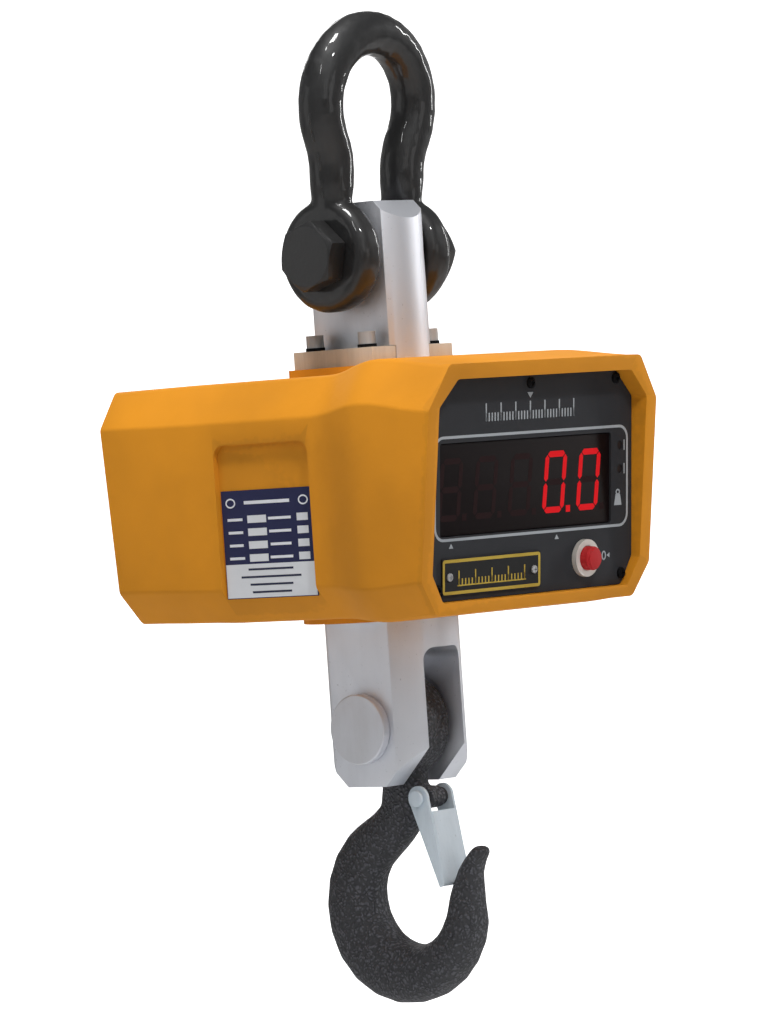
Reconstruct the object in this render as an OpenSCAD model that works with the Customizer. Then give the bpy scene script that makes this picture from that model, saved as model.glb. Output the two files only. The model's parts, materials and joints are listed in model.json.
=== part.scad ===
// Hanging crane scale: bow shackle, load bar with a housing on it, and an eye hook below.
// Millimetres. The origin is the seat of the crane's hook, at the inside top of the bow.
// +Z is up, the display faces -Y, and +X is the right-hand side seen from the display.

/* [Bow shackle] */
// From the bow's inside top down to the shackle bolt's axis
seat_to_bolt = 96; // [90:1:120]
// Lean of the shackle towards the display side as it hangs, degrees
shackle_lean = 5.5; // [0:0.5:8]
// Diameter of the bow's round bar
bow_d = 22; // [18:0.5:24]
// Radius of the bow's centreline at its top
bow_r = 34.4; // [33:0.1:42]
// Angle below the horizontal at which the bow starts to turn back into its legs
bow_neck_angle = 28; // [22:1:32]
// Distance between the middles of the two ears
ear_spacing = 52; // [50:0.5:56]
// Diameter of an ear
ear_d = 55; // [48:1:56]
// Thickness of an ear
ear_t = 16.2; // [14:0.1:18]
// Rounding of an ear's edges
ear_edge_r = 6; // [2:0.5:7]

/* [Shackle bolt] */
// Diameter of the shackle bolt
bolt_d = 20; // [16:0.5:22]
// Across flats of its hexagon head
bolt_af = 30; // [27:1:32]
// Height of its head
bolt_head_h = 11.5; // [8:0.5:13]
// Height of its nut
bolt_nut_h = 14.5; // [8:0.5:16]
// How far the bolt shows past its nut
bolt_tip = 1.5; // [0:0.5:4]
// Turn of the head about its own axis, degrees
bolt_turn = 7; // [0:1:30]

/* [Load bar] */
// From the shackle bolt's axis down to the hook pin's axis
pin_spacing = 228.4; // [215:0.2:275]
// Diameter of the bar above the housing
lug_d = 56; // [54:0.5:60]
// Across the lug's two flats
lug_flat = 30.4; // [28:0.2:33]
// Height of the lug above the shackle bolt's axis
lug_rise = 25; // [23:0.5:28]
// Slope cut off the lug's front and back top edges
lug_chamfer = 9; // [4:0.5:12]
// Diameter of the bar below the housing
clevis_d = 65; // [60:0.5:70]
// Across the clevis's two flats
clevis_flat = 52.4; // [48:0.2:56]
// Width of the slot that takes the hook's eye
slot_w = 26.5; // [25:0.1:30]
// Height of the slot above the hook pin's axis
slot_rise = 37.4; // [34:0.2:42]
// Rounding of the slot's top corners
slot_corner_r = 6; // [2:0.5:8]
// How far the clevis reaches below the hook pin's axis
clevis_drop = 28.1; // [25:0.1:32]
// Slope cut off the clevis's front and back bottom edges
clevis_chamfer = 20.5; // [8:0.5:21]

/* [Load cell] */
// Across the gauge section, side to side
gauge_w = 40; // [36:0.5:44]
// Across the gauge section, front to back
gauge_t = 46; // [40:0.5:50]
// Height of the gauge section
gauge_h = 52; // [44:1:60]
// Diameter of the two gauge pockets
pocket_d = 28; // [24:0.5:32]
// Web left between the gauge pockets
gauge_web = 12; // [6:0.5:16]
// Thickness of the two gauge covers
gauge_cover_t = 2; // [1:0.5:3]
// Diameter of the load cell's cable
cell_cable_d = 4.5; // [3:0.5:6]

/* [Keeper plates] */
// From the shackle bolt's axis down to the underside of the keeper plates
keeper_drop = 53.7; // [50:0.1:58]
// Length of a keeper plate, front to back
keeper_l = 50; // [46:1:56]
// Thickness of a keeper plate
keeper_t = 8.5; // [6:0.5:10]
// Half the width over both keeper plates
keeper_half = 30; // [28:0.5:34]
// Depth of the groove that a keeper plate's inner edge sits in
keeper_groove = 3; // [2:0.5:4]
// Half the distance between the two screws of a plate
keeper_screw_y = 16.5; // [13:0.5:20]
// Distance of the keeper screws from the middle
keeper_screw_x = 23.4; // [22:0.1:27]

/* [Housing] */
// Half the width of the housing's rear box
rear_half = 74; // [66:0.5:80]
// Half the width of the housing's waist
waist_half = 72; // [64:0.5:78]
// Half the width of the housing's head at its ridge
ridge_half = 84; // [78:0.5:90]
// Half the width of the front rim
rim_half = 86; // [80:0.5:94]
// Height of the waist
waist_h = 116; // [104:1:130]
// How far the head's ridge stands above the waist
ridge_rise = 5.6; // [2:0.2:8]
// How far the head's ridge hangs below the waist
ridge_sag = 2; // [0:0.2:4]
// From the load axis back to the rear end
rear_y = 112.5; // [108:0.5:140]
// From the load axis forward to the middle of the front rim
rim_y = 99.3; // [92:0.1:120]
// From the load axis back to where the rear box starts to narrow
rear_box_y = 66; // [60:1:72]
// From the load axis back to where the waist is fully narrow
waist_y = 45; // [40:1:54]
// From the load axis forward to where the head starts to flare
flare_y = 19; // [14:1:28]
// From the load axis forward to the head's ridge
ridge_y = 60; // [52:1:66]
// Forward tilt of the front rim, degrees
rim_tilt = 8.1; // [5:0.1:10]
// Backward tilt of the rear end, degrees
rear_tilt = 4; // [0:0.5:6]
// Wall thickness
wall = 5; // [3.5:0.5:6]
// Width of the upper chamfer, at the waist
chamfer_x = 14; // [10:0.5:18]
// Height of the upper chamfer, at the waist
chamfer_z = 19; // [14:0.5:22]
// Rounding of the long edges
edge_r = 4; // [1:0.5:6]

/* [Housing bosses] */
// How far the seat under the keeper plates stands above the waist
boss_h = 3.9; // [2:0.1:6]
// How far that seat reaches past the keeper plates all round
boss_margin = 3.5; // [2:0.5:5]
// Thickness of the collars round the bar inside the housing
collar_h = 9; // [6:0.5:12]
// Thickness of the wall of those collars
collar_wall = 10; // [8:0.5:12]
// How far the seat round the bar stands below the waist
lower_boss_h = 3; // [1:0.5:5]

/* [Label recess] */
// Length of the recess in each side of the waist
recess_l = 60; // [50:1:64]
// Front end of the recess, from the load axis
recess_front = 16; // [8:0.5:18]
// Height of the recess's upper end above the housing's middle
recess_up = 28; // [24:0.5:32]
// Depth of the recess
recess_depth = 3; // [1.5:0.5:3.5]
// Length of the data plate
data_plate_l = 58; // [44:1:58]
// Height of the data plate
data_plate_h = 52; // [40:1:56]
// Thickness of the data plate
data_plate_t = 0.4; // [0.2:0.1:0.8]

/* [Front panel] */
// Half the width of the front panel
panel_half = 78; // [74:0.5:80]
// Height of the front panel
panel_h = 104; // [96:0.5:106]
// Thickness of the front panel
panel_t = 3; // [2:0.5:4]
// Forward tilt of the front panel, degrees
panel_tilt = 5; // [3:0.5:8]
// How far the panel's middle sits behind the rim's middle
panel_set = 7.1; // [5:0.1:9]
// Width and height of the panel's upper corner cuts
panel_cut = 13; // [10:0.5:15]
// Thickness of the rubber gaskets
gasket_t = 2; // [1:0.5:3]
// Width of the ledge that a gasket rests on
ledge_w = 6; // [5.8:0.1:7]

/* [Display] */
// Width of the display window
window_w = 129; // [120:1:130]
// Height of the display window
window_h = 43.8; // [40:0.2:46]
// Shift of the display window to the left
window_shift = 2.5; // [0:0.5:4]
// Thickness of the display window's flange behind the panel
window_flange = 1.6; // [1:0.1:2.5]
// Number of digits
digits = 5; // [4:1:5]
// Distance between digits
digit_pitch = 25.9; // [25:0.1:27]
// Height of a digit module
digit_h = 38; // [34:0.5:40]
// Depth of a digit module
digit_depth = 10.5; // [8:0.5:12]
// Diameter of a status light
status_d = 4; // [3:0.5:5]

/* [Button] */
// Diameter of the push button's cap
button_d = 11.5; // [11:0.5:14]
// How far the cap stands out of its bezel
button_rise = 5; // [4:0.5:7]
// How far the button travels
button_travel = 2; // [1:0.5:3]
// Outside diameter of the button's bezel
bezel_d = 18; // [16:0.5:20]
// Gap round the cap
button_gap = 0.3; // [0.2:0.05:0.5]

/* [Nameplate] */
// Length of the nameplate
nameplate_l = 72.8; // [60:0.2:72.8]
// Height of the nameplate
nameplate_h = 17.3; // [14:0.1:18]
// Thickness of the nameplate
nameplate_t = 1; // [0.6:0.1:1.5]

/* [Circuit boards] */
// Width of the display board
display_board_w = 132; // [128:1:134]
// Height of the display board
display_board_h = 74; // [70:1:76]
// Width of the main board
main_board_w = 110; // [100:1:120]
// Height of the main board
main_board_h = 74; // [70:1:76]
// Thickness of the boards
board_t = 1.6; // [1:0.2:2]
// Distance between the display board and the main board
board_gap = 8; // [7:0.5:10]
// Half the distance between board spacers, side to side
spacer_x = 47; // [44:0.5:50]
// Height of the upper board spacers above the panel's middle
spacer_up = 38.5; // [36:0.5:39]
// Depth of the lower board spacers below the panel's middle
spacer_down = 27.5; // [27:0.5:28]

/* [Rear cover] */
// Thickness of the rear cover
cover_t = 4; // [3:0.5:5]
// How far the rear cover sits inside the rear edge
cover_set = 1; // [0.5:0.5:3]

/* [Battery] */
// Width of the battery
battery_w = 100; // [90:1:106]
// Depth of the battery
battery_t = 46; // [40:1:48]
// Height of the battery's case
battery_h = 68; // [60:1:72]
// Thickness of the battery tray's sheet
sheet_t = 1.5; // [1:0.25:2]

/* [Power switch and socket] */
// Width of the power switch's frame
switch_w = 21; // [18:0.5:24]
// Height of the power switch's frame
switch_h = 15; // [13:0.5:18]
// Diameter of the charging socket
socket_d = 12; // [10:0.5:16]
// Distance of the switch and the socket from the middle
rear_fitting_x = 40; // [34:1:44]

/* [Eye hook] */
// Lean of the hook towards the display side as it hangs, degrees
hook_lean = 3.5; // [0:0.5:8]
// Diameter of the hook pin
hook_pin_d = 20; // [16:0.5:20]
// Outside diameter of the hook's eye
eye_d = 50; // [46:0.5:52]
// Thickness of the eye
eye_t = 24; // [22:0.5:25]
// From the hook pin's axis down to the middle of the bowl
bowl_drop = 84; // [84:1:104]
// Inside radius of the bowl
bowl_r = 23; // [20:0.5:25]
// Radius of the hook's outside
hook_r = 47.4; // [47:0.1:52]
// Thickness of the hook at the bottom of its bowl
hook_t = 26; // [22:0.5:27]

/* [Hook pin] */
// Diameter of the pin's disc head
pin_head_d = 34; // [28:0.5:36]
// Thickness of that head
pin_head_h = 5; // [3:0.5:6]
// Thickness of the washer at the pin's other end
pin_washer_t = 2.5; // [1.5:0.5:4]
// Thickness of the retaining ring
ring_t = 1.8; // [1.2:0.2:2.4]

/* [Safety latch] */
// Length of the latch, from its pivot to its end
latch_l = 44; // [40:0.5:44]
// Thickness of the latch's sheet
latch_sheet = 1.5; // [1:0.1:2]
// Diameter of the latch pin
latch_pin_d = 5; // [4:0.5:6]
// Width inside the latch's cheeks
latch_inside = 17; // [15:0.5:19]
// Lean of the closed latch towards the tip, degrees
latch_lean = 12; // [10:0.5:12.5]

/* [Clearances] */
// Radial clearance of the parts that turn on a pin
running_gap = 0.05; // [0.02:0.01:0.09]
// Clearance round fixed parts that fit into one another
fit_gap = 0.3; // [0.1:0.05:0.5]

/* [Hidden] */
$fn = 64;
// Small lap that joins two solids of one piece
lap = 0.01;
// Standard screws: shank, head diameter, head height
m5_screw = [4.9, 8.5, 6];
m3_screw = [2.9, 5.4, 1.6];
m2_screw = [2, 3.8, 1.1];
// How far an M3 screw reaches past the sheets that it holds
m3_grip = 6;

// ---- Derived places. Bar coordinates: the shackle bolt's axis at the origin, Z up. ----

bar_y = seat_to_bolt * sin(shackle_lean);
bar_z = -seat_to_bolt * cos(shackle_lean);

ear_out = ear_spacing / 2 + ear_t / 2;
waist_top = -keeper_drop - boss_h;
waist_bottom = waist_top - waist_h;
mid_z = waist_top - waist_h / 2;
keeper_in = lug_flat / 2 - keeper_groove;

bore_gap = 0.3;
gauge_top = mid_z + gauge_h / 2;
gauge_bottom = mid_z - gauge_h / 2;

// Middle of the front panel's outer face, and of the rear cover's outer face
panel_y = -rim_y + panel_set;
cover_y = rear_y - cover_set;

// Depths behind the panel's outer face
gasket_depth = panel_t;
ledge_depth = panel_t + gasket_t;
window_depth = panel_t + window_flange;
digit_front = window_depth + 0.6;
display_board_depth = digit_front + digit_depth;
main_board_depth = display_board_depth + board_t + board_gap;

digit_first = -window_shift - digit_pitch * (digits - 1) / 2 - 4;

// Shape of the front opening: half width, half height, upper cut, lower cut
panel_low_cut = [panel_cut - 4.4, panel_cut + 0.5];

// ---- General shapes ----

// A bar lying along X, with its middle at the origin
module x_cyl(d, h) {
    rotate([0, 90, 0]) cylinder(d = d, h = h, center = true);
}

// A bar along X from x0 to x1
module x_bar(d, x0, x1) {
    translate([x0, 0, 0]) rotate([0, 90, 0]) cylinder(d = d, h = x1 - x0);
}

// A bar along Y from y0 to y1
module y_bar(d, y0, y1) {
    translate([0, y0, 0]) rotate([-90, 0, 0]) cylinder(d = d, h = y1 - y0);
}

// A box with its low corner and high corner given
module span(low, high) {
    translate(low) cube(high - low);
}

// A flat plate in the XZ plane with round corners, growing from y = 0 to y = t
module y_plate(w, h, t, r) {
    rotate([90, 0, 0]) translate([0, 0, -t]) linear_extrude(t) round_rect(w, h, r);
}

// A rectangle with round corners, made of plain shapes so that it stays exact
module round_rect(w, h, r) {
    square([w - 2 * r, h], center = true);
    square([w, h - 2 * r], center = true);
    for (x = [-1, 1], y = [-1, 1])
        translate([x * (w / 2 - r), y * (h / 2 - r)]) circle(r = r, $fn = 32);
}

// A disc along X with round edges
module x_disc(d, t, r) {
    rotate([0, 90, 0]) rotate_extrude() disc_profile(d / 2, t, r);
}

module disc_profile(radius, t, r) {
    translate([0, -t / 2]) square([radius - r, t]);
    translate([0, -t / 2 + r]) square([radius, t - 2 * r]);
    for (side = [-1, 1])
        translate([radius - r, side * (t / 2 - r)]) circle(r = r, $fn = 48);
}

// A socket-head screw with its bearing face at z = 0 and its shank below
module cap_screw(size, l) {
    d = size[0];
    head_d = size[1];
    head_h = size[2];
    translate([0, 0, -l]) cylinder(d = d, h = l + lap, $fn = 32);
    difference() {
        cylinder(d = head_d, h = head_h, $fn = 40);
        translate([0, 0, head_h * 0.45]) cylinder(d = head_d * 0.54, h = head_h, $fn = 6);
    }
}

// A small pan-head screw with a cross slot, pointing along +Y, bearing face at y = 0
module pan_screw(size, l) {
    d = size[0];
    head_d = size[1];
    head_h = size[2];
    rotate([90, 0, 0]) difference() {
        union() {
            translate([0, 0, -l]) cylinder(d = d, h = l + lap, $fn = 24);
            cylinder(d = head_d, h = head_h * 0.6, $fn = 32);
            translate([0, 0, head_h * 0.6 - lap])
                cylinder(d1 = head_d, d2 = head_d * 0.6, h = head_h * 0.4, $fn = 32);
        }
        for (turn = [0, 90])
            rotate(turn) translate([-head_d * 0.3, -head_d * 0.07, head_h * 0.5])
                cube([head_d * 0.6, head_d * 0.14, head_h]);
    }
}

// ---- Rounded eight-sided outlines, as points in X and Z ----

function unit(v) = v / norm(v);

// Arc that rounds the corner at b between a and c, with n steps
function corner(a, b, c, r, n) =
    let (
        da = unit(a - b),
        dc = unit(c - b),
        half = acos(da * dc) / 2,
        reach = r / tan(half),
        centre = b + unit(da + dc) * (r / sin(half)),
        p = b + da * reach - centre,
        q = b + dc * reach - centre,
        start = atan2(p[1], p[0]),
        turn = atan2(p[0] * q[1] - p[1] * q[0], p * q)
    )
    [for (i = [0 : n]) centre + r * [cos(start + turn * i / n), sin(start + turn * i / n)]];

function rounded(points, r, n) =
    let (count = len(points))
    [for (i = [0 : count - 1])
        each corner(points[(i + count - 1) % count], points[i], points[(i + 1) % count], r, n)];

// Eight corners: half width, top, bottom, upper cut [x, z], lower cut [x, z]
function octagon(half, top, bottom, up, low) = [
    [half - up[0], top], [half, top - up[1]],
    [half, bottom + low[1]], [half - low[0], bottom],
    [-half + low[0], bottom], [-half, bottom + low[1]],
    [-half, top - up[1]], [-half + up[0], top]
];

module octagon_plate(half, height, up, low, t, r) {
    rotate([90, 0, 0]) translate([0, 0, -t]) linear_extrude(t)
        polygon(rounded(octagon(half, height / 2, -height / 2, up, low), r, 4));
}

// ---- Housing sections: [y, half, top, bottom, up x, up z, low x, low z, lean] ----

lower_cut = [12, 16];
end_section = [rear_y, rear_half, waist_top - 0.4, waist_bottom + 1.4,
               chamfer_x, chamfer_z - 1, lower_cut[0] + 2, lower_cut[1], tan(rear_tilt)];
rear_section = [rear_box_y, rear_half, waist_top, waist_bottom + 0.6,
                chamfer_x, chamfer_z, lower_cut[0] + 2, lower_cut[1], 0];
waist_back = [waist_y, waist_half, waist_top, waist_bottom,
              chamfer_x, chamfer_z, lower_cut[0] + 1, lower_cut[1], 0];
waist_front = [-flare_y, waist_half, waist_top, waist_bottom,
               chamfer_x, chamfer_z, lower_cut[0] + 1, lower_cut[1], 0];
ridge_section = [-ridge_y, ridge_half, waist_top + ridge_rise, waist_bottom - ridge_sag,
                 chamfer_x + 1, chamfer_z + 1.4, lower_cut[0], lower_cut[1], 0];
rim_section = [-rim_y, rim_half, waist_top + 0.4, waist_bottom,
               chamfer_x, chamfer_z + 2, lower_cut[0], lower_cut[1], -tan(rim_tilt)];

function ease(t) = t * t * (3 - 2 * t);

function blend(a, b, steps) =
    [for (i = [0 : steps - 1])
        let (t = i / steps) concat([a[0] + (b[0] - a[0]) * t], [for (k = [1 : 8]) a[k] + (b[k] - a[k]) * ease(t)])];

function housing_sections() = concat(
    blend(end_section, rear_section, 3),
    blend(rear_section, waist_back, 4),
    blend(waist_back, waist_front, 2),
    blend(waist_front, ridge_section, 8),
    blend(ridge_section, rim_section, 6),
    [rim_section]
);

// A section drawn in by w, so that the wall keeps its thickness
function drawn_in(s, w) = [
    s[0], s[1] - w, s[2] - w, s[3] + w,
    max(s[4] - 0.5 * w, 1), max(s[5] - 0.5 * w, 1), max(s[6] - 0.5 * w, 1), max(s[7] - 0.5 * w, 1), s[8]
];

// The same section with another place along Y and another lean
function placed(s, y, lean) = concat([y], [for (k = [1 : 7]) s[k]], [lean]);

function section_points(s, r) =
    [for (p = rounded(octagon(s[1], s[2], s[3], [s[4], s[5]], [s[6], s[7]]), r, 3))
        [p[0], s[0] + s[8] * (p[1] - mid_z), p[1]]];

// A closed skin through rings of equally many points
module skin(rings) {
    n = len(rings[0]);
    last = (len(rings) - 1) * n;
    polyhedron(
        points = [for (ring = rings) each ring],
        faces = concat(
            [[for (i = [0 : n - 1]) n - 1 - i]],
            [[for (i = [0 : n - 1]) last + i]],
            [for (k = [0 : len(rings) - 2], i = [0 : n - 1], side = [0, 1])
                let (a = k * n + i, b = k * n + (i + 1) % n)
                side == 0 ? [a, b, a + n] : [b, b + n, a + n]]
        )
    );
}

module in_bar() {
    translate([0, bar_y, bar_z]) children();
}

module in_panel() {
    in_bar() translate([0, panel_y, mid_z]) rotate([panel_tilt, 0, 0]) children();
}

// Rear cover coordinates: +Y outwards, the outer face at y = 0
module in_cover() {
    in_bar() translate([0, cover_y, mid_z]) rotate([-rear_tilt, 0, 0]) children();
}

module in_hook() {
    in_bar() translate([0, 0, -pin_spacing]) rotate([-hook_lean, 0, 0]) children();
}

// ---- Shackle ----

neck_r = (bow_r * cos(bow_neck_angle) - ear_spacing / 2) / (1 - cos(bow_neck_angle));
bow_mid = bow_d / 2 - bow_r;
neck_x = (bow_r + neck_r) * cos(bow_neck_angle);
neck_z = bow_mid - (bow_r + neck_r) * sin(bow_neck_angle);
bow_sides = 28;

module in_shackle() {
    rotate([shackle_lean, 0, 0]) children();
}

// Stations of the right half of the bow, from the ear up to the top:
// [x, z, outward angle, half thickness across the leg]
leg_half = ear_t / 2 - 0.2;
leg_flat = ear_d / 2 - 5;
neck_low = seat_to_bolt + neck_z;

function bow_half() = concat(
    [for (h = [0, leg_flat]) [ear_spacing / 2, h - seat_to_bolt, 0, leg_half]],
    [for (i = [1 : 4]) let (t = i / 5)
        [ear_spacing / 2, leg_flat + (neck_low - leg_flat) * t - seat_to_bolt, 0,
         leg_half + (bow_d / 2 - leg_half) * ease(t)]],
    [for (i = [0 : 7]) let (a = bow_neck_angle * i / 8)
        [neck_x - neck_r * cos(a), neck_z + neck_r * sin(a), -a, bow_d / 2]],
    [for (i = [0 : 14]) let (a = -bow_neck_angle + (90 + bow_neck_angle) * i / 15)
        [bow_r * cos(a), bow_mid + bow_r * sin(a), a, bow_d / 2]]
);

function bow_stations() =
    let (half = bow_half(), n = len(half))
    concat(half, [[0, bow_mid + bow_r, 90, bow_d / 2]],
           [for (i = [n - 1 : -1 : 0]) [-half[i][0], half[i][1], 180 - half[i][2], half[i][3]]]);

function bow_ring(s) =
    [for (i = [0 : bow_sides - 1])
        let (t = 360 * i / bow_sides, k = s[3] * cos(t))
        [s[0] + k * cos(s[2]), -bow_d / 2 * sin(t), s[1] + k * sin(s[2])]];

module shackle_bow() {
    color("#1d1d1f") in_shackle() difference() {
        union() {
            skin([for (s = bow_stations()) bow_ring(s)]);
            for (side = [-1, 1])
                translate([side * ear_spacing / 2, 0, -seat_to_bolt]) x_disc(ear_d, ear_t, ear_edge_r);
        }
        translate([0, 0, -seat_to_bolt]) x_cyl(bolt_d + 2 * fit_gap, ear_spacing * 3);
    }
}

module in_bolt() {
    in_shackle() translate([0, 0, -seat_to_bolt]) children();
}

module shackle_bolt() {
    color("#242426") in_bolt() {
        x_bar(bolt_d, -ear_out - 1, ear_out + bolt_nut_h + bolt_tip);
        intersection() {
            translate([-ear_out - bolt_head_h, 0, 0]) rotate([bolt_turn, 0, 0]) rotate([0, 90, 0])
                cylinder(d = bolt_af / cos(30), h = bolt_head_h - 0.1, $fn = 6);
            translate([-ear_out - bolt_head_h, 0, 0]) rotate([0, 90, 0])
                rotate_extrude() polygon([[0, 0], [bolt_af / 2 - 0.5, 0],
                    [bolt_af / 2 + 3, 2], [bolt_af / 2 + 3, bolt_head_h], [0, bolt_head_h]]);
        }
    }
}

module shackle_nut() {
    color("#242426") in_bolt() difference() {
        intersection() {
            translate([ear_out + 0.1, 0, 0]) rotate([bolt_turn + 18, 0, 0]) rotate([0, 90, 0])
                cylinder(d = bolt_af / cos(30), h = bolt_nut_h - 0.1, $fn = 6);
            translate([ear_out, 0, 0]) rotate([0, 90, 0])
                rotate_extrude() polygon([[0, 0], [bolt_af / 2 + 3, 0],
                    [bolt_af / 2 + 3, bolt_nut_h - 2], [bolt_af / 2 - 0.5, bolt_nut_h], [0, bolt_nut_h]]);
        }
        x_cyl(bolt_d + 2 * running_gap, 4 * ear_out);
    }
}

// ---- Load bar and load cell ----

module load_cell() {
    color("#c9ccd0") in_bar() difference() {
        union() {
            lug();
            translate([0, 0, gauge_bottom - 1])
                span([-gauge_w / 2, -gauge_t / 2, 0], [gauge_w / 2, gauge_t / 2, gauge_h + 2]);
            clevis();
        }
        x_cyl(bolt_d + 2 * running_gap, 2 * lug_d);
        translate([0, 0, -pin_spacing]) x_cyl(hook_pin_d + fit_gap, 2 * clevis_d);
        for (side = [0, 1]) mirror([0, side, 0])
            translate([0, 0, mid_z]) y_bar(pocket_d, gauge_web / 2, gauge_t);
        translate([0, 0, mid_z]) y_bar(cell_cable_d, -gauge_t, 0);
    }
}

module lug() {
    difference() {
        translate([0, 0, gauge_top]) cylinder(d = lug_d, h = lug_rise - gauge_top);
        for (side = [0, 1]) mirror([side, 0, 0]) {
            span([lug_flat / 2, -lug_d, gauge_top - 1], [lug_d, lug_d, lug_rise + 1]);
            span([keeper_in, -lug_d, -keeper_drop], [lug_d, lug_d, -keeper_drop + keeper_t + 0.2]);
        }
        for (side = [0, 1]) mirror([0, side, 0])
            translate([0, lug_d / 2 - lug_chamfer, lug_rise]) rotate([-45, 0, 0])
                span([-lug_d, -lug_d, 0], [lug_d, lug_d, lug_d]);
    }
}

module clevis() {
    translate([0, 0, -pin_spacing]) difference() {
        translate([0, 0, -clevis_drop]) cylinder(d = clevis_d, h = clevis_drop + pin_spacing + gauge_bottom);
        for (side = [0, 1]) mirror([side, 0, 0])
            span([clevis_flat / 2, -clevis_d, -clevis_drop - 1],
                 [clevis_d, clevis_d, pin_spacing + waist_bottom - lower_boss_h - 1]);
        for (side = [0, 1]) mirror([0, side, 0])
            translate([0, clevis_d / 2 - clevis_chamfer, -clevis_drop]) rotate([45, 0, 0])
                span([-clevis_d, -clevis_d, -clevis_d], [clevis_d, clevis_d, 0]);
        rotate([90, 0, 0]) linear_extrude(2 * clevis_d, center = true) slot_outline();
    }
}

module slot_outline() {
    translate([-slot_w / 2, -clevis_d]) square([slot_w, clevis_d + slot_rise - slot_corner_r]);
    translate([-slot_w / 2 + slot_corner_r, 0]) square([slot_w - 2 * slot_corner_r, slot_rise]);
    for (side = [-1, 1])
        translate([side * (slot_w / 2 - slot_corner_r), slot_rise - slot_corner_r])
            circle(r = slot_corner_r, $fn = 48);
}

module gauge_covers() {
    color("#8f9297") in_bar() for (side = [0, 1]) mirror([0, side, 0])
        translate([0, gauge_t / 2, mid_z]) difference() {
            y_plate(gauge_w - 2, pocket_d + 8, gauge_cover_t, 4);
            if (side == 1) y_bar(cell_cable_d + 1, -1, gauge_cover_t + 1);
        }
}

cell_cable_end = panel_y + main_board_depth + board_t + 1;

module load_cell_cable() {
    color("#2b2b2b") in_bar() translate([0, 0, mid_z])
        y_bar(cell_cable_d - 0.4, cell_cable_end + 0.5, -gauge_web / 2 - 1);
}

// ---- Keeper plates ----

module keeper_plate() {
    difference() {
        span([keeper_in + fit_gap, -keeper_l / 2, -keeper_drop],
             [keeper_half, keeper_l / 2, -keeper_drop + keeper_t]);
        for (y = [-1, 1])
            translate([keeper_screw_x, y * keeper_screw_y, -keeper_drop - 1]) cylinder(d = 5.5, h = keeper_t + 2);
    }
}

module keeper_plate_right() {
    color("#b9b4ac") in_bar() keeper_plate();
}

module keeper_plate_left() {
    color("#b9b4ac") in_bar() mirror([1, 0, 0]) keeper_plate();
}

module each_keeper_screw() {
    for (x = [-1, 1], y = [-1, 1])
        translate([x * keeper_screw_x, y * keeper_screw_y, -keeper_drop + keeper_t]) children();
}

washer_t = 1.6;
keeper_screw_l = keeper_t + washer_t + 8;

module keeper_screws() {
    color("#d8d8d8") in_bar() each_keeper_screw()
        translate([0, 0, washer_t]) cap_screw(m5_screw, keeper_screw_l);
}

module keeper_spring_washers() {
    color("#151515") in_bar() each_keeper_screw() difference() {
        cylinder(d = 9.4, h = washer_t);
        translate([0, 0, -1]) cylinder(d = 5.3, h = washer_t + 2);
    }
}

// ---- Housing ----

module housing() {
    color("#e8962a") in_bar() difference() {
        union() {
            difference() {
                union() {
                    skin([for (s = housing_sections()) section_points(s, edge_r)]);
                    keeper_seat();
                }
                skin([for (s = cavity_sections()) section_points(s, edge_r)]);
            }
            translate([0, 0, waist_top - wall - collar_h + 1])
                cylinder(d = lug_d + 2 * collar_wall, h = collar_h);
            translate([0, 0, waist_bottom - lower_boss_h])
                cylinder(d = clevis_d + 2 * collar_wall, h = lower_boss_h + wall + collar_h - 1);
        }
        front_opening();
        rear_opening();
        lug_bore();
        translate([0, 0, mid_z - waist_h]) cylinder(d = clevis_d + 2 * bore_gap, h = waist_h);
        translate([0, 0, seal_z]) cylinder(d = clevis_d + 8, h = seal_t);
        for (side = [0, 1]) mirror([side, 0, 0]) label_recess();
        each_keeper_screw() translate([0, 0, -keeper_t - 9]) cylinder(d = 5, h = 10);
    }
}

// Hole for the lug, with the lug's two flats
module lug_bore() {
    intersection() {
        translate([0, 0, mid_z]) cylinder(d = lug_d + 2 * bore_gap, h = waist_h);
        translate([0, 0, mid_z + waist_h / 2])
            cube([lug_flat + 2 * bore_gap, 2 * lug_d, waist_h], center = true);
    }
}

// Raised seat under the keeper plates
module keeper_seat() {
    translate([0, 0, waist_top - wall / 2]) linear_extrude(boss_h + wall / 2)
        round_rect(2 * (keeper_half + boss_margin), keeper_l + 2 * boss_margin, 5);
}

function cavity_sections() =
    let (
        front = drawn_in(front_ring, ledge_w),
        back = drawn_in(rear_ring, ledge_w),
        s = housing_sections()
    )
    concat(
        [placed(back, cover_y - cover_t - gasket_t + 1, tan(rear_tilt))],
        [placed(back, cover_y - cover_t - gasket_t - 8, 0)],
        [for (i = [3 : len(s) - 6]) drawn_in(s[i], wall)],
        [placed(front, panel_y + ledge_depth + 6, -tan(panel_tilt))],
        [placed(front, panel_y + ledge_depth - 1, -tan(panel_tilt))]
    );

// Outline of the front opening and the rear opening as sections
front_ring = [panel_y, panel_half + fit_gap, mid_z + panel_h / 2 + fit_gap, mid_z - panel_h / 2 - fit_gap,
              panel_cut, panel_cut, panel_low_cut[0], panel_low_cut[1], 0];
rear_ring = drawn_in(end_section, wall);

module front_opening() {
    translate([0, panel_y, mid_z]) rotate([panel_tilt, 0, 0]) {
        translate([0, -60 + ledge_depth, 0])
            octagon_plate(panel_half + fit_gap, panel_h + 2 * fit_gap,
                          [panel_cut, panel_cut], panel_low_cut, 60, 3);
        each_panel_screw() y_bar(3, 0, ledge_depth + 7);
    }
}

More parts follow.
